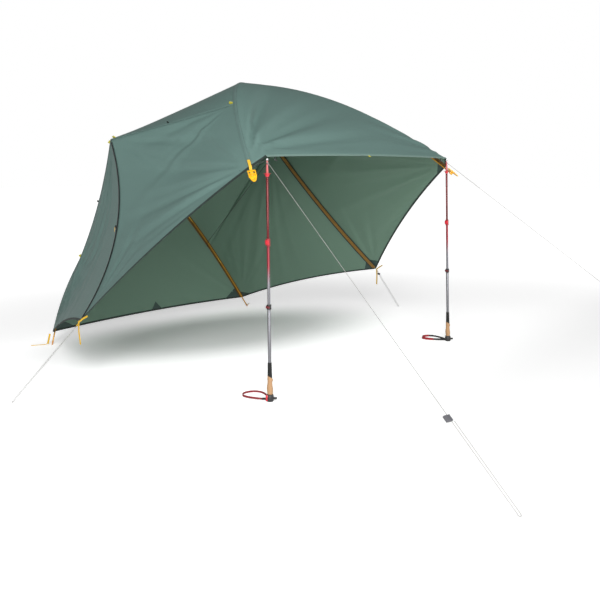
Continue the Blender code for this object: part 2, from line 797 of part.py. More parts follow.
def makeLock(word, level, shaft, inner, at, finish, lever, place):
    """A clamp round the end of a tube, and the lever that closes it."""
    inside = shaft + SLIDE_GAP
    outside = inside + LOCK_WALL
    pin = outside + GAP + 0.0036
    start = at - 0.008
    end = start + (LOWER_LOCK_LENGTH if level == "lower" else UPPER_LOCK_LENGTH)
    name = f"trek_{word}_lock_{level}"
    clamp = ring(name, inside, outside, start, end, finish, 12, place)
    for low in (start + 0.0015, end - 0.0065):
        ear = block("ear", (outside - 0.0015, -0.0034, low), (pin + 0.0034, 0.0034, low + 0.005),
                    finish, place)
        boolean(clamp, ear, "UNION")
    rivet = rod("rivet", 0.0016, start + 0.004, end - 0.004, finish, 8,
                place @ Matrix.Translation((pin, 0, 0)))
    boolean(clamp, rivet, "UNION")
    low, high = start + 0.0070, end - 0.0070
    near, far = outside + 0.0005, outside + 0.0036
    turns = [math.radians(a) for a in (8, 30, 55, 80, 105, 130, 150)]
    outline = [(near * math.cos(a), near * math.sin(a)) for a in turns]
    outline += [(far * math.cos(a), far * math.sin(a)) for a in reversed(turns)]
    arm = plate(f"trek_{word}_lever_{level}", outline, high - low, lever,
                place @ Matrix.Translation((0, 0, low)))
    eye = rod("eye", 0.0033, low, high, lever, 12, place @ Matrix.Translation((pin, 0, 0)))
    boolean(arm, eye, "UNION")
    hole = rod("hole", 0.0022, low - 0.01, high + 0.01, lever, 10,
               place @ Matrix.Translation((pin, 0, 0)))
    boolean(arm, hole, "DIFFERENCE")
    axis = place.to_3x3() @ Vector((0, 0, 1))
    report(f"trek_{word}_lever_{level}", place @ Vector((pin, 0, (low + high) / 2)), axis, "opens -120 deg")


def makeTrekPole(side, word):
    place, length = trekFrame(side)
    ferrule = [(0, 0), (0.0016, 0), (0.0024, 0.003), (0.0024, 0.012), (0.0038, 0.015),
               (LOWER_RADIUS, 0.060), (LOWER_RADIUS, FERRULE_END), (0, FERRULE_END)]
    turned(f"trek_{word}_tip", ferrule, carbide(), 12, place)
    bore = LOWER_RADIUS + SLIDE_GAP
    basket = [(bore, BASKET_AT + 0.012), (bore, BASKET_AT - 0.002), (BASKET_RADIUS, BASKET_AT - 0.002),
              (BASKET_RADIUS, BASKET_AT), (0.0095, BASKET_AT + 0.003), (0.0085, BASKET_AT + 0.012)]
    turned(f"trek_{word}_basket", basket, material("bright_red", (0.65, 0.03, 0.05), 0.4), 12, place)
    tubePiece(f"trek_{word}_shaft_lower", LOWER_RADIUS, FERRULE_END + GAP, LOWER_LOCK_AT + TUBE_OVERLAP,
              paintedRed(), place)
    tubePiece(f"trek_{word}_shaft_middle", MIDDLE_RADIUS, LOWER_LOCK_AT, UPPER_LOCK_AT + TUBE_OVERLAP,
              greyShaft(), place)
    tubePiece(f"trek_{word}_shaft_upper", UPPER_RADIUS, UPPER_LOCK_AT, HEAD_AT, greyShaft(), place)
    makeLock(word, "lower", MIDDLE_RADIUS, LOWER_RADIUS, LOWER_LOCK_AT,
             material("bright_red", (0.65, 0.03, 0.05), 0.4), material("bright_red", (0.65, 0.03, 0.05), 0.4),
             place)
    makeLock(word, "upper", UPPER_RADIUS, MIDDLE_RADIUS, UPPER_LOCK_AT, blackPlastic(),
             material("dark_red_lever", (0.25, 0.02, 0.02), 0.4), place)
    hold = UPPER_RADIUS + SLIDE_GAP
    sleeve = [(hold, CORK_AT - GAP), (hold, FOAM_AT), (0.0097, FOAM_AT), (0.0112, CORK_AT - GAP)]
    turned(f"trek_{word}_foam", sleeve, foam(), 12, place)
    grip = [(hold, HEAD_AT - GAP), (hold, CORK_AT), (0.0117, CORK_AT), (0.0147, CORK_AT + 0.014),
            (0.0118, CORK_AT + 0.028), (0.0152, CORK_AT + 0.060), (0.0135, HEAD_AT - GAP)]
    turned(f"trek_{word}_cork", grip, cork(), 12, place)
    end = length + 0.003
    dome = [(0, HEAD_AT + GAP), (0.0150, HEAD_AT + GAP), (0.0185, HEAD_AT + 0.008),
            (0.0190, HEAD_AT + 0.022), (0.0160, end - 0.006), (0.0120, end), (0, end)]
    head = turned(f"trek_{word}_head", dome, material("head_red", (0.45, 0.03, 0.04), 0.5), 12, place)
    nose = block("nose", (-0.012, -0.034, HEAD_AT + 0.006), (0.012, -0.010, end - 0.004),
                 blackPlastic(), place)
    boolean(head, nose, "UNION")
    floor = block("floor", (-2, -2, -0.2), (2, 2, 0.0), blackPlastic())
    boolean(head, floor, "DIFFERENCE")
    makeWristStrap(side, word, place)
    slide = place.to_3x3() @ Vector((0, 0, -1))
    report(f"trek_{word}_slides", place @ Vector((0, 0, LOWER_LOCK_AT)), slide, "collapse is positive")


def makeWristStrap(side, word, place):
    """A webbing loop that lies on the ground behind the head."""
    away = Vector((0.10 if side < 0 else -0.08, 1, 0)).normalized()
    across = Vector((away.y, -away.x, 0))
    start = place @ Vector((0, 0, HEAD_AT + 0.026)) + away * 0.021
    length, half, thick = STRAP_LOOP_LENGTH, STRAP_LOOP_HALF, 0.0022
    outer, inner = [], []
    for k in range(20):
        turn = 2 * math.pi * k / 20
        x = length / 2 * (1 - math.cos(turn))
        y = half * math.sin(turn) * (1 - 0.45 * math.cos(turn))
        tight = 1 - 2 * thick / length
        outer.append((x, y))
        inner.append((length / 2 + (x - length / 2) * tight, y * (1 - thick / half)))
    frame = Matrix((away, across, Vector((0, 0, 1)))).transposed().to_4x4()
    frame = Matrix.Translation((start.x, start.y, 0.0006)) @ frame
    points = [(x, y, z) for z in (0, 0.016) for x, y in outer + inner]
    faces = []
    for k in range(20):
        n = (k + 1) % 20
        faces += [(k, n, 20 + n, 20 + k), (40 + k, 60 + k, 60 + n, 40 + n),
                  (k, 40 + k, 40 + n, n), (20 + k, 20 + n, 60 + n, 60 + k)]
    strap = newObject(f"trek_{word}_strap", meshOf(points, faces, "strap"),
                      material("strap_webbing", (0.35, 0.03, 0.04), 0.85))
    strap.matrix_world = frame


# Straps and buckles


def cornerFrame(side):
    """At a front leg's end: local Z on along the pole, local X outwards."""
    route = legRoute(side, True)
    end = route[-1]
    run = (end - route[-2]).normalized()
    return basis(end, run, world(legPoint(1, side, True)) - end)


def makeBuckle(word, frame):
    """A front corner's buckle: the pole's end sits in its cup, and the corner strap runs straight
    between its bars, so it can be drawn off the pole's end."""
    name = f"buckle_front_{word}"
    half, first, last = BUCKLE_WIDTH / 2, CORNER_REACH - BUCKLE_LENGTH, POLE_REACH + 0.012
    body = block(name, (0.0090, -half, first), (0.0140, half, last), yellowPlastic(), frame)
    window = block("window", (0.0, 0.0040 - half, first + 0.0040), (0.02, half - 0.0040, last - 0.0040),
                   yellowPlastic(), frame)
    boolean(body, window, "DIFFERENCE")
    slot = block("slot", (0.0103, -0.0080, first - 0.01), (0.0127, 0.0080, first + 0.01), yellowPlastic(), frame)
    boolean(body, slot, "DIFFERENCE")
    for low, high in (((0.0130, -half + 0.002, first + 0.006), (0.0158, half - 0.002, first + 0.011)),
                      ((0.0130, -half + 0.002, last - 0.022), (0.0158, half - 0.002, last - 0.017)),
                      ((0.0060, -half + 0.002, POLE_REACH - 0.012), (0.0100, half - 0.002, last - 0.006))):
        boolean(body, block("bar", low, high, yellowPlastic(), frame), "UNION")
    nose = [(-half + 0.001, last - 0.002), (half - 0.001, last - 0.002), (0.0115, CORNER_REACH - 0.009),
            (0.0055, CORNER_REACH), (-0.0055, CORNER_REACH), (-0.0115, CORNER_REACH - 0.009)]
    turn = Matrix(((0, 0, 1), (1, 0, 0), (0, 1, 0))).to_4x4()
    boolean(body, plate("nose", nose, 0.0045, yellowPlastic(), frame @ Matrix.Translation((0.00925, 0, 0))
                        @ turn), "UNION")
    boolean(body, rod("cup", 0.0078, POLE_REACH - 0.0125, POLE_REACH + 0.0065, yellowPlastic(), 12, frame),
            "UNION")
    boolean(body, rod("bore", SOCKET_RADIUS, 0.02, POLE_REACH + 0.0010, yellowPlastic(), 12, frame),
            "DIFFERENCE")
    eye = frame @ Matrix.Translation((0, 0, CORNER_REACH - 0.014)) @ Matrix.Rotation(math.pi / 2, 4, "Y")
    boolean(body, rod("eye", BUCKLE_EYE, -0.03, 0.03, yellowPlastic(), 12, eye), "DIFFERENCE")
    report(name, frame.translation, frame.to_3x3() @ Vector((0, 0, 1)), "draws off the pole")


def makeFrontStrap(side, word):
    """The webbing of a front corner: an eyelet for the trekking pole's tip, a band along the hem to
    the corner, and the strap sewn over the leg's seam that runs on through the buckle."""
    place, _ = trekFrame(side)
    frame = cornerFrame(side)
    eyelet = place @ Vector((0, 0, 0.0065))
    corner = frame @ Vector((0.0165, 0, 0.0165))
    near = eyelet + (corner - eyelet).normalized() * 0.0045
    route = [near, near.lerp(corner, 0.5) + Vector((0, 0, -0.003)), corner]
    band = ribbon(f"strap_front_{word}", route, (0, 0.3, 1), 0.005, 0.0016, yellowWebbing())
    boolean(band, ring("eyelet", 0.0036, 0.0066, 0.0035, 0.0095, yellowWebbing(), 10, place), "UNION")
    line = [(0.0215, -0.034), (0.0215, 0.0080), (0.0192, 0.0135), (0.0148, 0.0185), (0.0117, 0.0240),
            (0.0115, POLE_REACH + 0.0040)]
    strap = ribbon("strap", [frame @ Vector((x, 0, z)) for x, z in line], frame.to_3x3() @ Vector((0, 1, 0)),
                   0.014, 0.0014, yellowWebbing())
    boolean(band, strap, "UNION")
    makeBuckle(word, frame)


def makeRearStrap(side, word):
    """The pull strap from a rear hem corner down to its foot, and the peg loop on the ground."""
    web = yellowWebbing()
    out = Vector((side * 0.011, 0.011, 0))
    top = world(legPoint(0.962, side, False)) + out
    foot = world(legPoint(1.0, side, False)) + out
    foot.z = 0.006
    lay = Vector((side * 0.085, 0.055, 0))
    strap = ribbon(f"strap_rear_{word}", [top, top.lerp(foot, 0.6), foot], (1, 0, 0), 0.012, 0.0014, web)
    peg = [foot + Vector((0, 0, 0.004)), foot + lay * 0.15 + Vector((0, 0, -0.0035)), foot + lay * 0.6
           + Vector((0, 0, -0.0042)), foot + lay + Vector((0, 0, -0.0042))]
    boolean(strap, ribbon("peg", peg, (0, 0, 1), 0.0030, 0.0040, web), "UNION")


def wingEye(side):
    return world(wingTip(side)) + Vector((side * 0.020, 0, -0.020))


def makeWingStrap(side, word):
    """At a wing tip: the strap that draws the two hems together, the eye that the guyline goes
    through, and the strap's hanging tail."""
    web = yellowWebbing()
    tip = world(wingTip(side)) + Vector((side * 0.011, 0, -0.004))
    up = [tip + Vector((0, 0.004, -0.003)), tip + Vector((-side * 0.005, -0.030, 0.020)),
          tip + Vector((-side * 0.012, -0.060, 0.036))]
    strap = ribbon(f"strap_wing_{word}", up, (0, 0.3, 1), 0.008, 0.0014, web)
    tail = [tip + Vector((0, 0, 0.003)), tip + Vector((side * 0.003, -0.002, -0.050)),
            tip + Vector((-side * 0.001, -0.004, -0.115))]
    boolean(strap, ribbon("tail", tail, (0, 1, 0), 0.010, 0.0016, web), "UNION")
    eye = wingEye(side)
    peg = ground(side * SIDE_PEG[0], SIDE_PEG[1], 0)
    hole = ring("eye", 0.0033, 0.0049, -0.0020, 0.0020, web, 12, basis(eye, across(peg - eye)))
    boolean(strap, hole, "UNION")
    link = ribbon("link", [tip + Vector((-side * 0.001, 0, -0.002)), eye + (tip - eye).normalized() * 0.0040],
                  (0, 1, 0), 0.0036, 0.0016, web)
    boolean(strap, link, "UNION")


def makeStraps():
    for side, word in ((-1, "left"), (1, "right")):
        makeFrontStrap(side, word)
        makeRearStrap(side, word)
        makeWingStrap(side, word)


# Cords


def across(run):
    """Sideways to a line, along the ground."""
    return Vector(run).cross(Vector((0, 0, 1))).normalized()


def arc(centre, ahead, over, radius, first, last, count):
    """Points round a centre, from ahead at 0 degrees towards over at 90."""
    found = []
    for k in range(count):
        turn = math.radians(first + (last - first) * k / (count - 1))
        found.append(centre + (ahead * math.cos(turn) + over * math.sin(turn)) * radius)
    return found


def tipLoop(side, below, target, radius):
    """A cord's end laid round a trekking pole's tip, and the start of its run to target."""
    place, _ = trekFrame(side)
    centre = place @ Vector((0, 0, below))
    axis = (place.to_3x3() @ Vector((0, 0, 1))).normalized()
    run = (target - centre).normalized()
    ahead = (run - axis * run.dot(axis)).normalized()
    over = axis.cross(ahead)
    hold = radius * 0.45
    end = [centre + run * x + over * hold for x in (0.024, 0.012)]
    start = [centre + run * x - over * hold for x in (0.012, 0.030, 0.080)]
    return end + arc(centre, ahead, over, radius, 60, 300, 9) + start


def pegLoop(top, peg, half):
    """Down one strand, round the peg at the ground and a little way up the other strand."""
    up = (top - peg).normalized()
    wide = across(up)
    flat = Vector((up.x, up.y, 0)).normalized()
    steps = (0.12, 0.040, 0.014)
    down = [peg + up * x - wide * half for x in steps]
    back = [peg + up * x + wide * half for x in reversed(steps)]
    return down + arc(peg + flat * 0.004, -flat, wide, half, -60, 60, 5) + back


def frontGuy(side):
    """The front guyline's route, and the seat of its tensioner."""
    top = trekFrame(side)[0] @ Vector((0, 0, 0.019))
    peg = ground(side * FRONT_PEG[0], FRONT_PEG[1], GUY_RADIUS + 0.0005)
    loop = tipLoop(side, 0.019, peg, 0.0056)
    bottom = pegLoop(top, peg, STRAND_GAP / 2)
    straight = [loop[-1].lerp(bottom[0], k / 5) for k in range(1, 5)]
    length = (peg - top).length
    at = loop[-1].lerp(bottom[0], (TENSIONER_SHARE * length - 0.08) / (length - 0.2))
    run = (bottom[0] - loop[-1]).normalized()
    last = bottom[-1] + (at - bottom[0]).normalized() * ((at - bottom[0]).length - 0.016)
    strand = [bottom[-1].lerp(last, k / 2) for k in range(1, 3)]
    return loop + straight + bottom + strand, basis(at, run, across(run))


def sideGuy(side):
    """The side guyline: through the wing strap's eye, down to the peg and up again to the lock."""
    eye = wingEye(side)
    peg = ground(side * SIDE_PEG[0], SIDE_PEG[1], GUY_RADIUS + 0.0005)
    down = (peg - eye).normalized()
    wide = across(-down)
    knot = [eye + down * x + wide * y for x, y in ((0.0200, 0.0040), (0.0100, 0.0041), (0.0045, 0.0039),
                                                   (0.0026, 0.0032), (0.0016, 0.0016))]
    through = [eye + down * x - wide * y for x, y in ((0.0014, 0.0), (0.0016, 0.0016), (0.0026, 0.0032),
                                                      (0.0045, 0.0039), (0.0100, 0.0045), (0.0200, 0.0047),
                                                      (0.0300, 0.0047), (0.0500, 0.0047))]
    bottom = pegLoop(eye, peg, 0.0055)
    straight = [through[-1].lerp(bottom[0], k / 3) for k in range(1, 3)]
    last = eye + down * 0.030 + wide * 0.0045
    strand = [bottom[-1].lerp(last, k / 3) for k in range(1, 4)]
    return knot + through + straight + bottom + strand, basis(eye + down * 0.036, down, wide)


def tieRoute():
    """The dark cord from the left pole's tip across to the right rear leg, and its hitch there."""
    above, below = legRoute(1, False)[TILES - 1:TILES + 1]
    centre = above.lerp(below, (TIE_SHARE / TAB_SHARE - 1) * TILES + 1)
    axis = (below - above).normalized()
    loop = tipLoop(-1, 0.026, centre, 0.0066)
    run = (centre - loop[-1]).normalized()
    run = (run - axis * run.dot(axis)).normalized()
    over = axis.cross(run)
    radius = POLE_RADIUS + TIE_RADIUS + 0.0006
    hitch = arc(centre, over, run, radius, 0, 540, 16)
    hitch = [p + axis * (0.0042 * k / 10) for k, p in enumerate(hitch)]
    leave = (hitch[-1] - hitch[-2]).normalized()
    tail = [hitch[-1] + leave * 0.005, hitch[-1] + leave * 0.010 + Vector((0, 0, -0.004)),
            hitch[-1] + leave * 0.013 + Vector((0, 0, -0.018))]
    straight = [loop[-1].lerp(hitch[0], k / 5) for k in range(1, 5)]
    near = hitch[0] - (hitch[0] - loop[-1]).normalized() * 0.012
    return loop + straight + [near] + hitch + tail


def makeTensioner(word, frame):
    """A small wedge threaded on the guyline, which it slides along to tighten the loop."""
    wide = 0.0075
    outline = [(-wide, -0.0045), (wide + STRAND_GAP, -0.0045), (wide + STRAND_GAP, 0.0045), (-wide, 0.0045)]
    body = plate(f"tensioner_{word}", outline, 0.026, greyShaft(), frame @ Matrix.Translation((0, 0, -0.013)))
    boolean(body, rod("hole", GUY_RADIUS + 0.0008, -0.05, 0.05, greyShaft(), 10, frame), "DIFFERENCE")
    run = frame.to_3x3() @ Vector((0, 0, 1))
    report(f"tensioner_{word}", frame.translation, run, "slides up the line")


def makeCordLock(frame):
    """The small barrel that grips both strands below the wing's eye."""
    lock = block("cord_lock_right", (-0.0085, -0.0045, -0.006), (0.0085, 0.0045, 0.006), blackPlastic(), frame)
    for x in (-0.0046, 0.0046):
        hole = rod("hole", GUY_RADIUS + 0.0008, -0.02, 0.02, blackPlastic(), 10,
                   frame @ Matrix.Translation((x, 0, 0)))
        boolean(lock, hole, "DIFFERENCE")


def makeCords():
    for side, word in ((-1, "left"), (1, "right")):
        route, seat = frontGuy(side)
        cordCurve(f"guyline_front_{word}", smooth(route), GUY_RADIUS, whiteCord())
        makeTensioner(word, seat)
        route, seat = sideGuy(side)
        cordCurve(f"guyline_side_{word}", smooth(route), GUY_RADIUS, whiteCord())
        if side > 0:
            makeCordLock(seat)
    cordCurve("tie_cord", smooth(tieRoute()), TIE_RADIUS, blackCord())


def report(name, at, axis, note):
    """Prints a joint's place, for whoever writes down how the piece moves."""
    print("joint", name, [round(c, 5) for c in at], [round(c, 6) for c in axis], note)


makeFly()
for hand, label in ((-1, "left"), (1, "right")):
    makeZip(hand, label)
    makeSlider(hand, label)
    makeTrekPole(hand, label)
makeFrame()
makeStraps()
makeCords()
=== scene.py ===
# The looks of a light tent pitched as an open shelter: cloth, trim, poles, cords, floor, light and camera
import json
import math

import bmesh
import bpy
import numpy as np
from mathutils import Matrix, Vector

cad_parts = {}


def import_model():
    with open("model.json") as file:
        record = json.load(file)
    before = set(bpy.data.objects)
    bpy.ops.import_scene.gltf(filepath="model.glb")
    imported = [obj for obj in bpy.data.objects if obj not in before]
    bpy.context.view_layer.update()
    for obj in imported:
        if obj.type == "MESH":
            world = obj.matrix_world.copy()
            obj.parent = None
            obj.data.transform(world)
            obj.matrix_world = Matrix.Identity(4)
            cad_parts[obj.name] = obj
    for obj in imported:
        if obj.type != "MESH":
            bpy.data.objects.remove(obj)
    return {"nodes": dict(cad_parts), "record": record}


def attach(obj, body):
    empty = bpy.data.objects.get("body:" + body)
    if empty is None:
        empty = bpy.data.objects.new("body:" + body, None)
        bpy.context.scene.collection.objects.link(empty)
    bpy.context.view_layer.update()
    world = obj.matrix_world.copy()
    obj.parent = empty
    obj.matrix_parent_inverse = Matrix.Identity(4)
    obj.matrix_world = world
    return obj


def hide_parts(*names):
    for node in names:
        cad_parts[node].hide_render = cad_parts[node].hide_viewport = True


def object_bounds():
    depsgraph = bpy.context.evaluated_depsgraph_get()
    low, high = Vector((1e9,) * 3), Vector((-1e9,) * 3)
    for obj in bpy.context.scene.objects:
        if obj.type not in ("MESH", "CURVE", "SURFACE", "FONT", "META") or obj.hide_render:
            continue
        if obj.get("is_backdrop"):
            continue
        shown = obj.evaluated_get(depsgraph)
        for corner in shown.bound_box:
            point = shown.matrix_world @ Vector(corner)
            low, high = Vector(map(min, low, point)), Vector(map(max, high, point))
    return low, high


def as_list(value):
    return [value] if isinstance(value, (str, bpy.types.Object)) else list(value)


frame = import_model()
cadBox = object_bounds()
nodes = frame["nodes"]
bpy.ops.object.select_all(action="DESELECT")
sides = ((-1, "left"), (1, "right"))
ends = ((True, "front"), (False, "rear"))

# The tent's lines, in its own frame: a along the tilted floor, w sideways, h above the floor
tent = {
    "floorLength": 2.143,
    "floorWidth": 1.76,
    "frontLift": 1.15,
    "originBack": 0.920,
    "middleHeight": 0.35,
    "hubInset": 0.54,
    "hubHeight": 0.868,
    "peakHeight": 1.020,
    "peakRound": 0.14,
    "ridgeHalf": 0.70,
    "ridgeEndHeight": 0.812,
    "shoulder": (0.25, 0.804),
    "knee": (0.71, 0.56),
    "cornerPull": 0.060,
    "cornerDrop": 0.017,
    "hemShare": 0.955,
    "tabShare": 0.66,
    "foldTuck": (0.03, 0.004),  # rear, front
    "foldSag": 0.004,
    "wingTip": (0.997, 1.285, -0.227),
    "zipBow": 0.110,
    "zipBowWay": (0.43, -0.87, -0.49),
    "hemArch": 0.036,
    "hemTuck": 0.015,
    "endHemRise": (0.02, 0.012),  # rear, front
    "poleHalf": 0.812,
    "poleRise": 0.004,
    "legInside": 0.017,
    "cornerHem": 0.0625,
}
length = tent["floorLength"]
middle = length / 2
tilt = math.asin(tent["frontLift"] / length)
inside = (middle, 0.0, tent["middleHeight"])


def world(p):
    a, w, h = p
    back = length * math.cos(tilt) - a * math.cos(tilt) + h * math.sin(tilt)
    return np.array([w, back - tent["originBack"], a * math.sin(tilt) + h * math.cos(tilt)])


def bowed(start, end, t, rise):
    return start * (1 - t) + end * t + np.array(rise) * 4 * t * (1 - t)


def legPoint(t, side, front):
    hub = np.array([length - tent["hubInset"], 0.0, tent["hubHeight"]])
    pull, drop = (tent["cornerPull"], tent["cornerDrop"]) if front else (0, 0)
    end = np.array([length - pull, tent["floorWidth"] / 2, -drop])
    shoulder = hub + (end - hub) * tent["shoulder"][0]
    knee = hub + (end - hub) * tent["knee"][0]
    shoulder[2], knee[2] = tent["shoulder"][1], tent["knee"][1]
    s = 1 - t
    p = s**3 * hub + 3 * s**2 * t * shoulder + 3 * s * t**2 * knee + t**3 * end
    return np.array([p[0] if front else length - p[0], side * p[1], p[2]])


def rounded(t):
    bend = tent["peakRound"]
    return (math.hypot(t, bend) - bend) / (math.hypot(1, bend) - bend)


def spinePoint(t, front):
    along = (middle - tent["hubInset"]) * t * (1 if front else -1)
    fall = tent["peakHeight"] - tent["hubHeight"]
    return np.array([middle + along, 0.0, tent["peakHeight"] - fall * rounded(t)])


def ridgePoint(t, side):
    fall = tent["peakHeight"] - tent["ridgeEndHeight"]
    return np.array([middle, side * tent["ridgeHalf"] * t, tent["peakHeight"] - fall * rounded(t)])


def foldPoint(t, side, front):
    sag = (0, -side * tent["foldTuck"][front], -tent["foldSag"])
    return bowed(ridgePoint(1, side), legPoint(tent["tabShare"], side, front), t, sag)


def wingTip(side):
    along, half, drop = tent["wingTip"]
    return np.array([along, side * half, drop])


def zipPoint(t, side):
    top, tip = ridgePoint(1, side), wingTip(side)
    chord = np.linalg.norm(tip - top)
    along = (tip - top) / chord
    inward = np.array(tent["zipBowWay"]) * (1, side, 1)
    inward = inward - along * (inward @ along)
    inward = inward / np.linalg.norm(inward)
    radius = chord**2 / (8 * tent["zipBow"]) + tent["zipBow"] / 2
    centre = (top + tip) / 2 - inward * (radius - tent["zipBow"])
    turn = math.asin(chord / 2 / radius) * (2 * t - 1)
    return centre + radius * (along * math.sin(turn) + inward * math.cos(turn))


def lastShare(front):
    return 1.0 if front else tent["hemShare"]


def hemPoint(t, side, front):
    arch = (0, -side * tent["hemTuck"], tent["hemArch"])
    return bowed(wingTip(side), legPoint(lastShare(front), side, front), t, arch)


def endHemPoint(u, front):
    left, right = (legPoint(lastShare(front), side, front) for side in (-1, 1))
    rise = (0, 0, tent["endHemRise"][front])
    if not front:
        return bowed(left, right, u, rise)
    step = tent["cornerHem"]
    poleLeft, poleRight = (np.array([length, side * tent["poleHalf"], tent["poleRise"]]) for side in (-1, 1))
    if u < step:
        return left + (poleLeft - left) * u / step
    if u > 1 - step:
        return right + (poleRight - right) * (1 - u) / step
    return bowed(poleLeft, poleRight, (u - step) / (1 - 2 * step), rise)


def coons(near, far, left, right, u, v):
    # fills four edge curves with a surface
    edges = (1 - v) * near(u) + v * far(u) + (1 - u) * left(v) + u * right(v)
    corners = (1 - u) * (1 - v) * near(0) + u * (1 - v) * near(1) + (1 - u) * v * far(0) + u * v * far(1)
    return edges - corners


def roofPoint(u, v, front):
    side, share = -1 if u < 0 else 1, tent["tabShare"]
    return coons(lambda k: ridgePoint(k, side), lambda k: legPoint(share * k, side, front),
                 lambda k: spinePoint(k, front), lambda k: foldPoint(k, side, front), abs(u), v)


def wallPoint(u, v, side, front):
    share, last = tent["tabShare"], lastShare(front)
    return coons(lambda k: foldPoint(k, side, front), lambda k: hemPoint(k, side, front),
                 lambda k: zipPoint(k, side),
                 lambda k: legPoint(share + (last - share) * k, side, front), u, v)


def endPoint(u, t, front):
    last = lastShare(front)
    left, right = legPoint(t, -1, front), legPoint(t, 1, front)
    foot = legPoint(last, -1, front) * (1 - u) + legPoint(last, 1, front) * u
    return left * (1 - u) + right * u + (endHemPoint(u, front) - foot) * (t / last) ** 4

# Materials


def newGroup(name, **ins):
    # a tuple makes a colour input and None a vector
    group = bpy.data.node_groups.new(name, "ShaderNodeTree")
    for label, value in ins.items():
        kind = "Vector" if value is None else "Color" if isinstance(value, tuple) else "Float"
        socket = group.interface.new_socket(label, in_out="INPUT", socket_type=f"NodeSocket{kind}")
        if value is not None:
            socket.default_value = value
    return group, group.nodes.new("NodeGroupInput").outputs


def node(tree, kind, values=(), **settings):
    made = tree.nodes.new(f"ShaderNode{kind}")
    for key, value in settings.items():
        setattr(made, key, value)
    for key, value in dict(values).items():
        if isinstance(value, bpy.types.NodeSocket):
            tree.links.new(value, made.inputs[key])
        else:
            made.inputs[key].default_value = value
    return made


def maths(tree, operation, *values):
    return node(tree, "Math", dict(enumerate(values)), operation=operation).outputs[0]


def plus(tree, a, b):
    return maths(tree, "ADD", a, b)


def times(tree, a, b):
    return maths(tree, "MULTIPLY", a, b)


def split(tree, vector):
    return node(tree, "SeparateXYZ", {0: vector}).outputs


def noise(tree, vector, scale, detail):
    return node(tree, "TexNoise", {"Vector": vector, "Scale": scale, "Detail": detail}).outputs["Fac"]


def mixedColour(tree, share, a, b):
    return node(tree, "Mix", {"Factor": share, "A": a, "B": b}, data_type="RGBA").outputs["Result"]


def smoothStep(tree, value, span, low=0.0, high=1.0):
    return node(tree, "MapRange", {"Value": value, "From Min": span[0], "From Max": span[1], "To Min": low,
                                   "To Max": high}, interpolation_type="SMOOTHSTEP").outputs["Result"]


def putOut(group, colour, level, height, roughness=None):
    # the level makes the colour lighter or darker; a roughness comes out only where it changes over the piece
    shade = node(group, "VectorMath", {0: colour, "Scale": level}, operation="SCALE").outputs[0]
    results = {"Colour": shade, "Height": height}
    if roughness:
        results["Roughness"] = roughness
    for label in results:
        kind = "Color" if label == "Colour" else "Float"
        group.interface.new_socket(label, in_out="OUTPUT", socket_type=f"NodeSocket{kind}")
    outs = group.nodes.new("NodeGroupOutput")
    for label, value in results.items():
        group.links.new(value, outs.inputs[label])
    return group


def makeRipstop():
    line, threads, threadHeight = 0.44, 12, 0.35
    group, ins = newGroup("ripstop", Colour=(0.1, 0.2, 0.2, 1), Vector=None, Square=0.006, Roughness=0.5,
                          Drift=0.1)
    place = split(group, ins["Vector"])
    lines, waves = [], []
    for axis in ("X", "Y"):
        square = maths(group, "DIVIDE", place[axis], ins["Square"])
        near = maths(group, "ABSOLUTE", maths(group, "SUBTRACT", maths(group, "FRACT", square), 0.5))
        lines.append(maths(group, "GREATER_THAN", near, line))
        waves.append(maths(group, "SINE", times(group, square, 2 * math.pi * threads)))
    grid = maths(group, "MAXIMUM", *lines)
    weave = times(group, times(group, *waves), threadHeight)
    cloud = noise(group, ins["Vector"], 2.3, 3.0)
    drift = times(group, maths(group, "SUBTRACT", cloud, 0.5), ins["Drift"])
    level = plus(group, plus(group, drift, 1.0), times(group, grid, -0.05))
    rough = plus(group, ins["Roughness"], times(group, grid, 0.06))
    return putOut(group, ins["Colour"], level, plus(group, grid, weave), plus(group, rough, drift))


def makeGrain():
    group, ins = newGroup("mouldedGrain", Colour=(0.1, 0.1, 0.1, 1), Scale=900.0, Roughness=0.5,
                          Variation=0.15)
    place = node(group, "TexCoord").outputs["Object"]
    pits = noise(group, place, ins["Scale"], 2.0)
    smear = noise(group, place, 60.0, 4.0)
    wander = times(group, maths(group, "SUBTRACT", smear, 0.5), ins["Variation"])
    return putOut(group, ins["Colour"], plus(group, wander, 1.0), pits, plus(group, ins["Roughness"], wander))


def makeWebbing():
    group, ins = newGroup("webbingWeave", Colour=(0.1, 0.1, 0.1, 1), Vector=None, Rib=0.0012)
    place = split(group, ins["Vector"])
    waves = []
    for axis, share in (("X", 1.0), ("Y", 1.6), ("Z", 1.0)):
        turns = maths(group, "DIVIDE", place[axis], ins["Rib"])
        waves.append(maths(group, "SINE", times(group, turns, 2 * math.pi * share)))
    weave = times(group, plus(group, plus(group, *waves[:2]), waves[2]), 0.3)
    # the colour follows the weave's height, lighter on the ribs and darker between them: painted shade in the
    # grooves of the weave
    return putOut(group, ins["Colour"], plus(group, times(group, weave, 0.12), 1.0), weave)


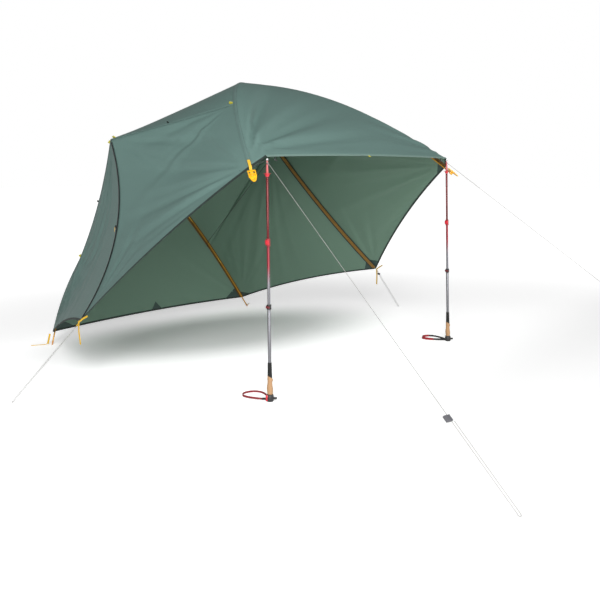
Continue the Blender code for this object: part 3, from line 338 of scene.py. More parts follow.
def makeStitching():
    threadHalf, stitchShare, ribWidth = 0.0005, 0.62, 0.0009
    group, ins = newGroup("stitchRows", Colour=(0.1, 0.1, 0.1, 1), Thread=(0.2, 0.2, 0.2, 1), Vector=None,
                          Row=0.005, Pitch=0.0034)
    place = split(group, ins["Vector"])
    aside = maths(group, "ABSOLUTE", place["Y"])
    off = maths(group, "ABSOLUTE", maths(group, "SUBTRACT", aside, ins["Row"]))
    turns = maths(group, "FRACT", maths(group, "DIVIDE", place["X"], ins["Pitch"]))
    inRow = maths(group, "LESS_THAN", off, threadHalf)
    stitch = times(group, inRow, maths(group, "LESS_THAN", turns, stitchShare))
    weave = maths(group, "SINE", times(group, place["X"], 2 * math.pi / ribWidth))
    colour = mixedColour(group, stitch, ins["Colour"], ins["Thread"])
    cloud = noise(group, ins["Vector"], 14.0, 3.0)
    level = plus(group, times(group, cloud, 0.24), 0.88)
    return putOut(group, colour, level, plus(group, stitch, times(group, weave, 0.15)))


ripstop, grain, webbing, seams = makeRipstop(), makeGrain(), makeWebbing(), makeStitching()


def finish(name, group, values, bump=0.3, depth=0.0002, vector=None, **shaderValues):
    made = bpy.data.materials.new(name)
    made.use_nodes = True
    tree = made.node_tree
    shader = tree.nodes["Principled BSDF"]
    for key, value in shaderValues.items():
        shader.inputs[key.replace("_", " ")].default_value = value
    pattern = tree.nodes.new("ShaderNodeGroup")
    pattern.node_tree = group
    for key, value in values.items():
        pattern.inputs[key].default_value = value
    if vector:
        tree.links.new(node(tree, "TexCoord").outputs[vector], pattern.inputs["Vector"])
    relief = node(tree, "Bump", {"Strength": bump, "Distance": depth, "Height": pattern.outputs["Height"]})
    tree.links.new(pattern.outputs["Colour"], shader.inputs["Base Color"])
    if "Roughness" in pattern.outputs:
        tree.links.new(pattern.outputs["Roughness"], shader.inputs["Roughness"])
    tree.links.new(relief.outputs["Normal"], shader.inputs["Normal"])
    return made


def moulded(name, colour, roughness=0.5, scale=900.0, bump=0.25, **more):
    return finish(name, grain, {"Colour": (*colour, 1), "Roughness": roughness, "Scale": scale}, bump, **more)


def woven(name, colour, rib=0.0012):
    return finish(name, webbing, {"Colour": (*colour, 1), "Rib": rib}, 0.5, vector="Object", Roughness=0.8)


def clothFinish(name, colour, roughness, **more):
    return finish(name, ripstop, {"Colour": (*colour, 1), "Roughness": roughness}, 0.25, 0.0001, "UV", **more)


def fading(material, end, span):
    # the lacquer of the middle shaft turns from red to grey down the pole
    tree = material.node_tree
    paint = tree.nodes["Principled BSDF"].inputs["Base Color"]
    up = split(tree, node(tree, "TexCoord").outputs["Object"])["Z"]
    red = paint.links[0].from_socket
    tree.links.new(mixedColour(tree, smoothStep(tree, up, span), (*end, 1), red), paint)


def stitched(name, colour, thread, row, roughness):
    values = {"Colour": (*colour, 1), "Thread": (*thread, 1), "Row": row}
    return finish(name, seams, values, 0.4, 0.0003, "UV", Roughness=roughness)


clothOutside = clothFinish("clothOutside", (0.112, 0.186, 0.168), 0.55, Specular_IOR_Level=0.22)
# the inside of the cloth is the same cloth painted lighter and greener than the outside: painted light,
# standing in for light that shines through the thin cloth
clothInside = clothFinish("clothInside", (0.135, 0.222, 0.165), 0.60, Specular_IOR_Level=0.25)
seamTape = stitched("seamTape", (0.100, 0.165, 0.150), (0.022, 0.040, 0.036), 0.0084, 0.5)
sleeveTape = stitched("sleeveTape", (0.135, 0.070, 0.012), (0.030, 0.020, 0.008), 0.0145, 0.7)
paleBinding = stitched("paleBinding", (0.150, 0.235, 0.205), (0.06, 0.10, 0.09), 0.0085, 0.5)
zipCoil = stitched("zipCoil", (0.010, 0.012, 0.012), (0.035, 0.038, 0.038), 0.0015, 0.4)
darkBinding = woven("darkBinding", (0.012, 0.022, 0.018))
patchCloth = clothFinish("patchCloth", (0.018, 0.045, 0.036), 0.6)
goldTape = stitched("goldTape", (0.190, 0.095, 0.010), (0.42, 0.24, 0.05), 0.0050, 0.7)
tabYellow = woven("tabYellow", (0.52, 0.46, 0.045))
goldTube = moulded("goldTube", (0.40, 0.20, 0.022), 0.34, 400.0, 0.05, Metallic=0.85)
blackPlastic = moulded("blackPlastic", (0.014, 0.014, 0.015), 0.45)
orangePlastic = moulded("orangePlastic", (0.50, 0.19, 0.012), 0.45)
yellowWebbing = woven("yellowWebbing", (0.62, 0.38, 0.025))
yellowPlastic = moulded("yellowPlastic", (0.80, 0.40, 0.010), 0.34)
guyCord = woven("guyCord", (0.27, 0.265, 0.25), 0.0016)
blackCord = woven("blackCord", (0.008, 0.011, 0.010), 0.0016)
tensionerGrey = moulded("tensionerGrey", (0.09, 0.09, 0.10), 0.5)
paleTip = moulded("paleTip", (0.43, 0.085, 0.085), 0.4)
brightRed = moulded("brightRed", (0.56, 0.016, 0.030), 0.38)
redTube = moulded("redTube", (0.110, 0.003, 0.005), 0.24, 400.0, 0.05, Metallic=0.3)
fadeTube = moulded("fadeTube", (0.19, 0.012, 0.020), 0.3, 400.0, 0.05, Metallic=0.4)
fading(fadeTube, (0.17, 0.17, 0.185), (0.55, 0.66))
greyTube = moulded("greyTube", (0.17, 0.17, 0.185), 0.33, 400.0, 0.05, Metallic=0.6)
darkRed = moulded("darkRed", (0.14, 0.010, 0.014), 0.4)
lockRed = moulded("lockRed", (0.30, 0.009, 0.016), 0.4)
blackFoam = moulded("blackFoam", (0.010, 0.010, 0.010), 0.95, 1500.0, 0.6)
corkGrip = moulded("corkGrip", (0.40, 0.235, 0.120), 0.85, 420.0, 0.6)
headBlack = moulded("headBlack", (0.012, 0.012, 0.012), 0.5)
strapWeb = woven("strapWeb", (0.21, 0.012, 0.018))
strapBlack = woven("strapBlack", (0.014, 0.014, 0.014))
strapRed = woven("strapRed", (0.30, 0.012, 0.018))
bareMetal = moulded("bareMetal", (0.45, 0.45, 0.46), 0.3, 500.0, 0.05, Metallic=1.0)
ferruleGold = moulded("ferruleGold", (0.70, 0.42, 0.08), 0.25, 400.0, 0.05, Metallic=0.9)
slider = moulded("slider", (0.012, 0.012, 0.012), 0.35)


def named(*words):
    # legSeam, front, left makes legSeamFrontLeft
    first, *rest = "_".join(words).split("_")
    return first + "".join(word.title() for word in rest)


def linked(name, data, *materials):
    made = bpy.data.objects.new(name, data)
    bpy.context.scene.collection.objects.link(made)
    for material in materials:
        data.materials.append(material)
    return made


def worn(piece, nodeName=None):
    # for what stays with the tent itself
    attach(piece, "root")
    if nodeName:
        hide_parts(nodeName)
    return piece


# Cloth

cloth = {
    "thick": 0.0007,
    "cutMargin": 1.1,  # the rectangle that a panel is cut from, over the panel's mean measures
    "wallGrid": (64, 56),
    "endGrid": (94, 80),
    "roofGrid": (80, 40),
    "endStart": 0.02,
    # over what width the folds fade at the seams, and what share of them does at the hem
    "wallFade": (0.05, 0.75),
    "endFade": (0.045, 0.85),
    "roofFade": (0.05, 1.0),
    # each fan of folds: the corner it starts from, where it points, how many folds, how far they reach,
    # how deep they are, how wide the fan is, and how its waves start, build up and bend
    "wallFront": (((0, 0), (18, -1), 24, 0.80, 0.0065, 24, 1.1),
                  ((-1, -1), (20, 0), 22, 0.80, 0.0088, 36, 2.0),
                  ((-1, 0), (0, 30), 24, 0.45, 0.0055, 30, 0.4),
                  ((0, -1), (13, 6), 17, 0.55, 0.0085, 26, 1.2, 0.14)),
    "wallRear": (((0, 0), (-1, -1), 34, 1.3, 0.0062, 26, 0.9),
                 ((-1, -1), (0, 8), 30, 0.9, 0.0058, 24, 0.2),
                 ((0, -1), (-1, 24), 18, 0.7, 0.0030, 40, 2.4)),
    "endFront": (((-1, 0), (20, 26), 26, 0.82, 0.0230, 42, 0.8, 0.15, 0.10),
                 ((-1, -1), (20, -26), 23, 0.44, 0.0080, 42, 2.0, 0.15, 0.10)),
    "endRear": (((-1, 0), (0, 47), 17, 0.75, 0.0026, 44, 0.5),
                ((-1, -1), (0, 47), 17, 0.75, 0.0026, 44, 1.7)),
    "roof": (((-1, 0), (40, 30), 18, 0.4, 0.0030, 40, 0.3), ((-1, -1), (40, 50), 18, 0.4, 0.0030, 40, 1.3),
             ((0, 0), (40, 30), 18, 0.4, 0.0030, 40, 0.3), ((0, -1), (40, 50), 18, 0.4, 0.0030, 40, 1.3)),
    "calmWall": 0.4,  # what is left of the folds on the right rear wall
}


def steps(first, last, count):
    return [first + (last - first) * k / count for k in range(count + 1)]


def gridOf(at, us, vs):
    return np.array([[world(at(u, v)) for u in us] for v in vs])


def outward(grid):
    down, over = np.gradient(grid, axis=0), np.gradient(grid, axis=1)
    found = np.cross(down, over)
    found /= np.maximum(np.linalg.norm(found, axis=2, keepdims=True), 1e-12)
    facing = np.sum(found * (grid - world(inside)), axis=2)
    return found * (1 if facing.sum() > 0 else -1)


def fan(grid, normal, at, aim, count, reach, depth, spread, phase, hold=0.05, bend=0.0):
    start = grid[at]
    way = grid[aim] - start
    way = way / np.linalg.norm(way)
    side = np.cross(normal[at], way)
    off = grid - start
    far = np.linalg.norm(off, axis=2)
    angle = np.degrees(np.arctan2(off @ side, off @ way))
    inFan = np.exp(-(angle / spread) ** 4)
    along = far / (far + hold) * np.exp(-(far / reach) ** 2)
    turns = np.radians(angle) * count + phase + bend * far
    wave = np.sin(turns) + 0.45 * np.sin(turns * 1.7 + 1.3) + 0.3 * np.sin(turns * 2.6 + phase * 2)
    return depth * inFan * along * wave


def folded(grid, fans, fading, share=1.0):
    # raises the folds, which fade out towards the seams
    width, bottom = fading
    normal = outward(grid)
    high, wide = grid.shape[:2]
    over = np.linalg.norm(np.diff(grid, axis=1), axis=2)
    down = np.linalg.norm(np.diff(grid, axis=0), axis=2)
    fromFirst = np.concatenate([np.zeros((high, 1)), np.cumsum(over, axis=1)], axis=1)
    fromTop = np.concatenate([np.zeros((1, wide)), np.cumsum(down, axis=0)], axis=0)
    fade = np.ones((high, wide))
    for part, far in ((1, fromFirst), (1, fromFirst[:, -1:] - fromFirst), (1, fromTop),
                      (bottom, fromTop[-1:] - fromTop)):
        fade *= 1 - part * np.exp(-(far / width) ** 2)
    relief = sum(fan(grid, normal, *one) for one in fans) * share
    return grid + normal * (relief * fade)[..., None]


def measured(grid):
    over = np.linalg.norm(np.diff(grid, axis=1), axis=2).mean(axis=0)
    down = np.linalg.norm(np.diff(grid, axis=0), axis=2).mean(axis=1)
    return np.concatenate([[0], np.cumsum(over)]), np.concatenate([[0], np.cumsum(down)])


def newShape():
    shape = bmesh.new()
    return shape, shape.loops.layers.uv.new("UVMap")


def charted(shape, chart, corners, smooth=True):
    # each corner is a point and its place on the cloth's chart
    face = shape.faces.new([corner[0] for corner in corners])
    face.smooth = smooth
    for loop, corner in zip(face.loops, corners):
        loop[chart].uv = corner[1]


def meshOf(name, shape):
    mesh = bpy.data.meshes.new(name)
    shape.to_mesh(mesh)
    shape.free()
    return mesh


def sewn(name, grid, nodeName):
    shape, chart = newShape()
    us, vs = measured(grid)
    rows = [[(shape.verts.new(p), (u, v)) for p, u in zip(row, us)] for row, v in zip(grid, vs)]
    for one, two in zip(rows, rows[1:]):
        for j in range(len(us) - 1):
            charted(shape, chart, (one[j], one[j + 1], two[j + 1], two[j]))
    bmesh.ops.remove_doubles(shape, verts=shape.verts, dist=1e-5)
    bmesh.ops.recalc_face_normals(shape, faces=shape.faces)
    centre = Vector(world(inside))
    if sum(f.normal.dot(f.calc_center_median() - centre) * f.calc_area() for f in shape.faces) < 0:
        bmesh.ops.reverse_faces(shape, faces=shape.faces)
    area = sum(f.calc_area() for f in shape.faces)
    # the inner faces and rims take the inside cloth with its painted light
    piece = linked(name, meshOf(name, shape), clothOutside, clothInside, clothInside)
    body = piece.modifiers.new("thickness", "SOLIDIFY")
    body.thickness = cloth["thick"]
    body.offset = 1.0
    body.material_offset = 1
    body.material_offset_rim = 2
    print(name, "area", round(area, 3))
    return worn(piece, nodeName), area


def wallGrid(side, front):
    wide, high = cloth["wallGrid"]
    return gridOf(lambda u, v: wallPoint(u, v, side, front), steps(0, 1, wide), steps(0, 1, high))


def endGrid(front):
    wide, high = cloth["endGrid"]
    corner = tent["cornerHem"] / 4
    us = [0, *steps(corner, 1 - corner, wide), 1]
    return gridOf(lambda u, t: endPoint(u, t, front), us, steps(cloth["endStart"], lastShare(front), high))


def roofGrid():
    wide, high = cloth["roofGrid"]
    us = steps(-1, 1, wide)
    rear = gridOf(lambda u, v: roofPoint(u, v, False), us, steps(1, 0, high))
    return np.concatenate([rear[:-1], gridOf(lambda u, v: roofPoint(u, v, True), us, steps(0, 1, high))])


panels = {"flyRoof": (folded(roofGrid(), cloth["roof"], cloth["roofFade"]), "fly_roof")}
for front, word in ends:
    grid = folded(endGrid(front), cloth[named("end", word)], cloth["endFade"])
    panels[named("flyEnd", word)] = (grid, f"fly_{word}")
    for side, hand in sides:
        share = 1.0 if front or side < 0 else cloth["calmWall"]
        grid = folded(wallGrid(side, front), cloth[named("wall", word)], cloth["wallFade"], share)
        panels[named("flyWall", word, hand)] = (grid, f"fly_{word}")
sheets = {name: sewn(name, grid, nodeName) for name, (grid, nodeName) in panels.items()}
print("cloth done")

# Trim: bands sewn over the seams and round the hems, zips and patches

trim = {
    "seamHalf": 0.0105,
    "seamLift": 0.0011,
    "seamThick": 0.0007,
    "sleeveHalf": 0.017,
    "foldHalf": 0.0030,
    "hemWide": 0.011,
    "zipHalf": 0.0195,
    "zipBorder": 0.006,
    "onSeam": 0.0003,
    "patchRows": 8,
    "patchEdge": 0.002,
    "patchStart": 0.075,
    "patchEnd": 0.090,
    "patchTall": 0.085,
    "patchThick": 0.0005,
    "patchLift": 0.0004,
}


def away(at, inner, run):
    d = Vector(inner) - at
    d -= run * d.dot(run)
    return d.normalized()


def seamFrames(line, first, second, shares):
    # at each point of a seam, the way along each of its two cloths and the way out of each
    points = [Vector(world(line(s))) for s in shares]
    found = []
    for k, (s, p) in enumerate(zip(shares, points)):
        run = (points[min(k + 1, len(points) - 1)] - points[max(k - 1, 0)]).normalized()
        a, b = (away(p, world(side(s)), run) for side in (first, second))
        outs = []
        for d in (a, b):
            out = run.cross(d).normalized()
            outs.append(out if out.dot(p - Vector(world(inside))) > 0 else -out)
        found.append((p, a, outs[0], b, outs[1]))
    return found


def skinned(name, rings, sharp, overlap=None):
    # a skin over rings of points and their places on the chart; an overlap joins the last ring to the first
    shape, chart = newShape()
    rings = [[(shape.verts.new(spot), uv) for spot, uv in ring] for ring in rings]
    pairs = list(zip(rings, rings[1:]))
    if overlap:
        pairs.append((rings[-1], [(v, (overlap, uv[1])) for v, uv in rings[0]]))
    for one, two in pairs:
        for k in range(len(one)):
            n = (k + 1) % len(one)
            charted(shape, chart, (one[k], one[n], two[n], two[k]))
    if not overlap:
        for ring in (rings[0], rings[-1]):
            shape.faces.new([corner[0] for corner in ring])
    bmesh.ops.recalc_face_normals(shape, faces=shape.faces)
    mesh = meshOf(name, shape)
    mesh.set_sharp_from_angle(angle=math.radians(sharp))
    return mesh


def band(name, frames, profile, material, nodeName=None):
    # profile: how far along the first cloth (positive) or the second (negative), and how far outside
    rings, far, last = [], 0.0, None
    for p, a, outA, b, outB in frames:
        far += (p - last).length if last else 0.0
        last = p
        ring = []
        for x, y in profile:
            if abs(x) < trim["onSeam"]:
                spot = p + (outA + outB).normalized() * y
            else:
                spot = p + (a * x + outA * y if x > 0 else b * -x + outB * y)
            ring.append((spot, (far, x)))
        rings.append(ring)
    return worn(linked(name, skinned(name, rings, 50), material), nodeName)


def flatProfile(half, low, high, rows=5):
    xs = [half * (2 * k / (rows - 1) - 1) for k in range(rows)]
    return [(x, low) for x in xs] + [(x, high) for x in reversed(xs)]


def legSeam(side, front):
    share, last = tent["tabShare"], lastShare(front)
    edge = 0 if side < 0 else 1

    def other(t):
        if t < share:
            return roofPoint(side * t / share, 0.96, front)
        return wallPoint(0.97, (t - share) / (last - share), side, front)

    return lambda t: legPoint(t, side, front), lambda t: endPoint(abs(edge - 0.02), t, front), other


profiles = {
    "seam": flatProfile(trim["seamHalf"], trim["seamLift"], trim["seamLift"] + trim["seamThick"]),
    "sleeve": flatProfile(trim["sleeveHalf"], -0.0022, -0.0012, 7),
    "fold": flatProfile(trim["foldHalf"], 0.0009, 0.0018),
    "hem": [(trim["hemWide"], -0.0012), (-0.0012, -0.0012), (-0.0012, 0.0020), (trim["hemWide"], 0.0020)],
    "zip": flatProfile(trim["zipHalf"], -0.0052, -0.0042, 9),
    "chain": [(-0.0030, 0.0012), (-0.0030, 0.0042), (-0.0012, 0.0058), (0.0012, 0.0058), (0.0030, 0.0042),
              (0.0030, 0.0012)],
}
trims = {name: [] for name in panels}
for side, hand in sides:
    for front, word in ends:
        line, first, second = legSeam(side, front)
        frames = seamFrames(line, first, second, steps(0.03, lastShare(front) - 0.004, 60))
        trims[named("flyEnd", word)] += [
            band(named("legSeam", word, hand), frames, profiles["seam"], seamTape),
            band(named("legSleeve", word, hand), frames, profiles["sleeve"], sleeveTape)]
        fold = seamFrames(lambda t: foldPoint(t, side, front), lambda t: roofPoint(side * 0.97, t, front),
                          lambda t: wallPoint(t, 0.03, side, front), steps(0.01, 0.985, 30))
        hem = seamFrames(lambda t: hemPoint(t, side, front), lambda t: wallPoint(t, 0.97, side, front),
                         lambda t: wallPoint(t, 1.03, side, front), steps(0.012, 0.995, 60))
        trims[named("flyWall", word, hand)] += [
            band(named("foldSeam", word, hand), fold, profiles["fold"], seamTape),
            band(named("hem", word, hand), hem, profiles["hem"], darkBinding)]
for front, word in ends:
    last, corner = lastShare(front), tent["cornerHem"]
    spots = sorted({0.002, 0.998, corner, 1 - corner, *steps(0.01, 0.99, 80)})
    hem = seamFrames(lambda u: endPoint(u, last, front), lambda u: endPoint(u, last - 0.02, front),
                     lambda u: 2 * endPoint(u, last, front) - endPoint(u, last - 0.02, front), spots)
    parts = [("", hem, darkBinding)]
    if front:
        # pale between the two poles
        one, two = (spots.index(k) for k in (corner, 1 - corner))
        parts = [("CornerLeft", hem[:one + 1], darkBinding), ("", hem[one:two + 1], paleBinding),
                 ("CornerRight", hem[two:], darkBinding)]
    for part, frames, material in parts:
        piece = band(named("hem", word) + part, frames, profiles["hem"], material)
        trims[named("flyEnd", word)].append(piece)
for side, hand in sides:
    frames = seamFrames(lambda t: zipPoint(t, side), lambda t: wallPoint(0.03, t, side, True),
                        lambda t: wallPoint(0.03, t, side, False), steps(0.02, 0.985, 70))
    parts = [("zipBand", profiles["zip"], goldTape, f"zip_{hand}"),
             ("zipChain", profiles["chain"], zipCoil, f"zip_{hand}")]
    for name, sign in (("zipBorderFront", 1), ("zipBorderRear", -1)):
        near, far = ((trim["zipHalf"] + x) * sign for x in (-trim["zipBorder"], 0.001))
        edge = [(near, -0.0056), (far, -0.0056), (far, -0.0037), (near, -0.0037)]
        parts.append((name, edge, darkBinding, None))
    for name, profile, material, nodeName in parts:
        piece = band(named(name, hand), frames, profile, material, nodeName)
        trims[named("flyWallFront", hand)].append(piece)


def sampled(rows, i, j):
    high, wide = rows.shape[0] - 1, rows.shape[1] - 1
    i, j = min(max(i, 0), high), min(max(j, 0), wide)
    a, b = min(int(i), high - 1), min(int(j), wide - 1)
    x, y = i - a, j - b
    return (rows[a, b] * (1 - x) * (1 - y) + rows[a + 1, b] * x * (1 - y) + rows[a, b + 1] * (1 - x) * y
            + rows[a + 1, b + 1] * x * y)


def patch(name, panel, corners):
    # a triangle of cloth on the inside of a panel, between three row and column spots of the panel's grid
    grid, count = panels[panel][0], trim["patchRows"]
    normal = outward(grid)
    shape, chart = newShape()
    a, b, c = (np.array(corner, float) for corner in corners)
    layers = []
    for drop in (trim["patchLift"], trim["patchLift"] + trim["patchThick"]):
        rows = []
        for k in range(count + 1):
            row = []
            for m in range(k + 1):
                spot = a + (b - a) * (k - m) / count + (c - a) * m / count
                at = sampled(grid, *spot) - sampled(normal, *spot) * drop
                row.append((shape.verts.new(at), (m * 0.01, k * 0.01)))
            rows.append(row)
        layers.append(rows)
    faces, rims = [], []
    for rows in layers:
        for k in range(count):
            for m in range(k + 1):
                faces.append((rows[k][m], rows[k + 1][m], rows[k + 1][m + 1]))
                if m < k:
                    faces.append((rows[k][m], rows[k + 1][m + 1], rows[k][m + 1]))
        rims.append([row[0] for row in rows] + rows[-1][1:] + [rows[k][-1] for k in range(count - 1, 0, -1)])
    for k in range(len(rims[0])):
        n = (k + 1) % len(rims[0])
        faces.append((rims[0][k], rims[0][n], rims[1][n], rims[1][k]))
    for face in faces:
        charted(shape, chart, face, smooth=False)
    bmesh.ops.recalc_face_normals(shape, faces=shape.faces)
    trims[panel].append(worn(linked(name, meshOf(name, shape), patchCloth)))


for name, (grid, _) in panels.items():
    if name in ("flyRoof", "flyEndFront"):
        continue
    us, vs = measured(grid)
    high, wide = grid.shape[0] - 1, grid.shape[1] - 1
    first = [float(np.interp(x, us, range(wide + 1))) for x in (trim["patchEdge"], trim["patchStart"])]
    last = [float(np.interp(us[-1] - x, us, range(wide + 1))) for x in (trim["patchEdge"], trim["patchEnd"])]
    low, up = (float(np.interp(vs[-1] - x, vs, range(high + 1))) for x in (0.001, trim["patchTall"]))
    end = name == "flyEndRear"
    start, stop = ("Left", "Right") if end else ("Zip", "Foot")
    patch(f"patch{name[3:]}{start}", name, ((low, first[0]), (low, first[1] + end), (up, first[0])))
    patch(f"patch{name[3:]}{stop}", name, ((low, last[0]), (low, last[1]), (up, last[0])))
    if end:
        mid, half = wide / 2, wide * 0.03
        patch(f"patch{name[3:]}Middle", name, ((up + 1, mid), (low, mid - half), (low, mid + half)))
print("trim done")

# Cords

cords = {
    "guyRadius": 0.0011,
    "tieRadius": 0.0015,
    "tensionerShare": 0.788,
    "strandGap": 0.013,
    "strandEnd": 0.016,
    "sideStrandHalf": 0.0055,
    "eyeOut": 0.020,
    "frontPeg": (1.218, -1.483),
    "sidePeg": (1.658, 0.881),
    "offGround": 0.0005,
    "loopRun": 0.080,
    "pegRise": 0.12,
    # how far below a pole's tip the cord goes round it, and how wide
    "guyAt": 0.019,
    "guyWrap": 0.0056,
    "tieAt": 0.026,
    "tieWrap": 0.0066,
    "tieShare": 0.632,
    "hitchWrap": 0.0066,
    "sideKnot": ((0.0200, 0.0040), (0.0100, 0.0041), (0.0045, 0.0039), (0.0026, 0.0032), (0.0016, 0.0016)),
    "sideEye": ((0.0014, 0.0), (0.0016, 0.0016), (0.0026, 0.0032), (0.0045, 0.0039), (0.0100, 0.0045),
                (0.0200, 0.0047), (0.0300, 0.0047), (0.0500, 0.0047)),
}
trek = {"baseHalf": 0.841, "baseForward": 0.036, "tipBelow": 0.004}


def groundPoint(x, back, up):
    return Vector((x, back - tent["originBack"], up))


def pegPoint(side, peg):
    return groundPoint(side * peg[0], peg[1], cords["guyRadius"] + cords["offGround"])


def basis(origin, up, side=(0, 0, 1)):
    z = Vector(up).normalized()
    x = Vector(side) - z * Vector(side).dot(z)
    x = x.normalized() if x.length > 1e-4 else z.orthogonal().normalized()
    return Matrix.Translation(Vector(origin)) @ Matrix((x, z.cross(x), z)).transposed().to_4x4()


def trekFrame(side):
    tip = groundPoint(side * tent["poleHalf"], 0, tent["frontLift"] - trek["tipBelow"])
    base = groundPoint(side * trek["baseHalf"], -trek["baseForward"], 0)
    return basis(tip, base - tip, (-0.75, -0.66, 0)), (base - tip).length


def between(start, end, parts, last=None):
    return [start.lerp(end, k / parts) for k in range(1, last or parts)]


def across(run):
    return Vector(run).cross(Vector((0, 0, 1))).normalized()


def arc(centre, ahead, over, radius, first, last, count):
    turns = [math.radians(first + (last - first) * k / (count - 1)) for k in range(count)]
    return [centre + (ahead * math.cos(turn) + over * math.sin(turn)) * radius for turn in turns]


def tipLoop(side, below, target, radius):
    place, _ = trekFrame(side)
    centre = place @ Vector((0, 0, below))
    axis = (place.to_3x3() @ Vector((0, 0, 1))).normalized()
    run = (target - centre).normalized()
    ahead = (run - axis * run.dot(axis)).normalized()
    over = axis.cross(ahead)
    hold = radius * 0.45
    end = [centre + run * x + over * hold for x in (0.024, 0.012)]
    start = [centre + run * x - over * hold for x in (0.012, 0.030, cords["loopRun"])]
    return end + arc(centre, ahead, over, radius, 60, 300, 9) + start


def pegLoop(top, peg, half):
    up = (top - peg).normalized()
    wide = across(up)
    flat = Vector((up.x, up.y, 0)).normalized()
    rises = (cords["pegRise"], 0.040, 0.014)
    down = [peg + up * x - wide * half for x in rises]
    back = [peg + up * x + wide * half for x in reversed(rises)]
    return down + arc(peg + flat * 0.004, -flat, wide, half, -60, 60, 5) + back


def frontGuy(side):
    top = trekFrame(side)[0] @ Vector((0, 0, cords["guyAt"]))
    peg = pegPoint(side, cords["frontPeg"])
    loop = tipLoop(side, cords["guyAt"], peg, cords["guyWrap"])
    bottom = pegLoop(top, peg, cords["strandGap"] / 2)
    long = (peg - top).length
    drawn = long - cords["loopRun"] - cords["pegRise"]
    at = loop[-1].lerp(bottom[0], (cords["tensionerShare"] * long - cords["loopRun"]) / drawn)
    last = bottom[-1] + (at - bottom[0]).normalized() * ((at - bottom[0]).length - cords["strandEnd"])
    return loop + between(loop[-1], bottom[0], 5) + bottom + between(bottom[-1], last, 2, last=3)


def sideGuy(side):
    eye = Vector(world(wingTip(side))) + Vector((side, 0, -1)) * cords["eyeOut"]
    peg = pegPoint(side, cords["sidePeg"])
    down = (peg - eye).normalized()
    wide = across(-down)
    knot = [eye + down * x + wide * y for x, y in cords["sideKnot"]]
    through = [eye + down * x - wide * y for x, y in cords["sideEye"]]
    bottom = pegLoop(eye, peg, cords["sideStrandHalf"])
    last = eye + down * 0.030 + wide * 0.0045
    return knot + through + between(through[-1], bottom[0], 3) + bottom + between(bottom[-1], last, 3, last=4)


def legRoutePoint(t, side, front):
    # the middle of the pole, which lies inside the cloth
    p = legPoint(t, side, front)
    way = np.array(inside) - p
    return Vector(world(p + way / np.linalg.norm(way) * tent["legInside"]))


def tieRoute():
    above, below = (legRoutePoint(tent["tabShare"] * k, 1, False) for k in (7 / 8, 1))
    centre = above.lerp(below, (cords["tieShare"] / tent["tabShare"] - 1) * 8 + 1)
    axis = (below - above).normalized()
    loop = tipLoop(-1, cords["tieAt"], centre, cords["tieWrap"])
    run = (centre - loop[-1]).normalized()
    run = (run - axis * run.dot(axis)).normalized()
    over = axis.cross(run)
    hitch = arc(centre, over, run, cords["hitchWrap"], 0, 540, 16)
    hitch = [p + axis * (0.0042 * k / 10) for k, p in enumerate(hitch)]
    leave = (hitch[-1] - hitch[-2]).normalized()
    tail = [hitch[-1] + leave * far + Vector((0, 0, -fall))
            for far, fall in ((0.005, 0), (0.010, 0.004), (0.013, 0.018))]
    near = hitch[0] - (hitch[0] - loop[-1]).normalized() * 0.012
    return loop + between(loop[-1], hitch[0], 5) + [near] + hitch + tail


def smoothRoute(points):
    gaps = [(q - p).length for p, q in zip(points, points[1:])]
    slopes = [(q - p) / h for p, q, h in zip(points, points[1:], gaps)]
    ways = [slopes[0]]
    for i in range(1, len(slopes)):
        ways.append((slopes[i - 1] * gaps[i] + slopes[i] * gaps[i - 1]) / (gaps[i] + gaps[i - 1]))
    ways.append(slopes[-1])
    fine = []
    for p, q, h, m, n in zip(points, points[1:], gaps, ways, ways[1:]):
        count = max(2, min(6, int(h / 0.0015))) if h < 0.06 else 1
        for k in range(count):
            t = k / count
            fine.append(p * (2 * t**3 - 3 * t**2 + 1) + m * h * (t**3 - 2 * t**2 + t)
                        + q * (3 * t**2 - 2 * t**3) + n * h * (t**3 - t**2))
    return fine + [points[-1]]


def makeCord(name, route, radius, material, nodeName):
    route = smoothRoute(route)
    curve = bpy.data.curves.new(name, "CURVE")
    curve.dimensions = "3D"
    curve.bevel_depth = radius
    curve.bevel_resolution = 3
    curve.use_fill_caps = True
    line = curve.splines.new("POLY")
    line.points.add(len(route) - 1)
    for at, p in zip(line.points, route):
        at.co = (*p, 1)
    made = worn(linked(name, curve, material), nodeName)
    long = sum((q - p).length for p, q in zip(route, route[1:]))
    tuple(route[0])
    print(name, "length", round(long, 3))


# Rigid pieces

bodyOf = {name: body for body, names in frame["record"]["behaviour"]["bodies"].items() for name in names}


def settle(piece, nodeName, material=None):
    if material:
        piece.data.materials.clear()
        piece.data.materials.append(material)
    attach(piece, bodyOf[nodeName])
    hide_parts(nodeName)
    return piece


def choose(piece):
    bpy.ops.object.select_all(action="DESELECT")
    piece.select_set(True)
    bpy.context.view_layer.objects.active = piece


def applied(piece, kind, **settings):
    choose(piece)
    made = piece.modifiers.new(kind.lower(), kind)
    for key, value in settings.items():
        setattr(made, key, value)
    bpy.ops.object.modifier_apply(modifier=made.name)


def smoothed(piece, degrees=35):
    choose(piece)
    bpy.ops.object.shade_smooth_by_angle(angle=math.radians(degrees))
    return piece


def placed(piece, place):
    piece.matrix_world = place
    choose(piece)
    bpy.ops.object.transform_apply(location=True, rotation=True, scale=True)
    return piece


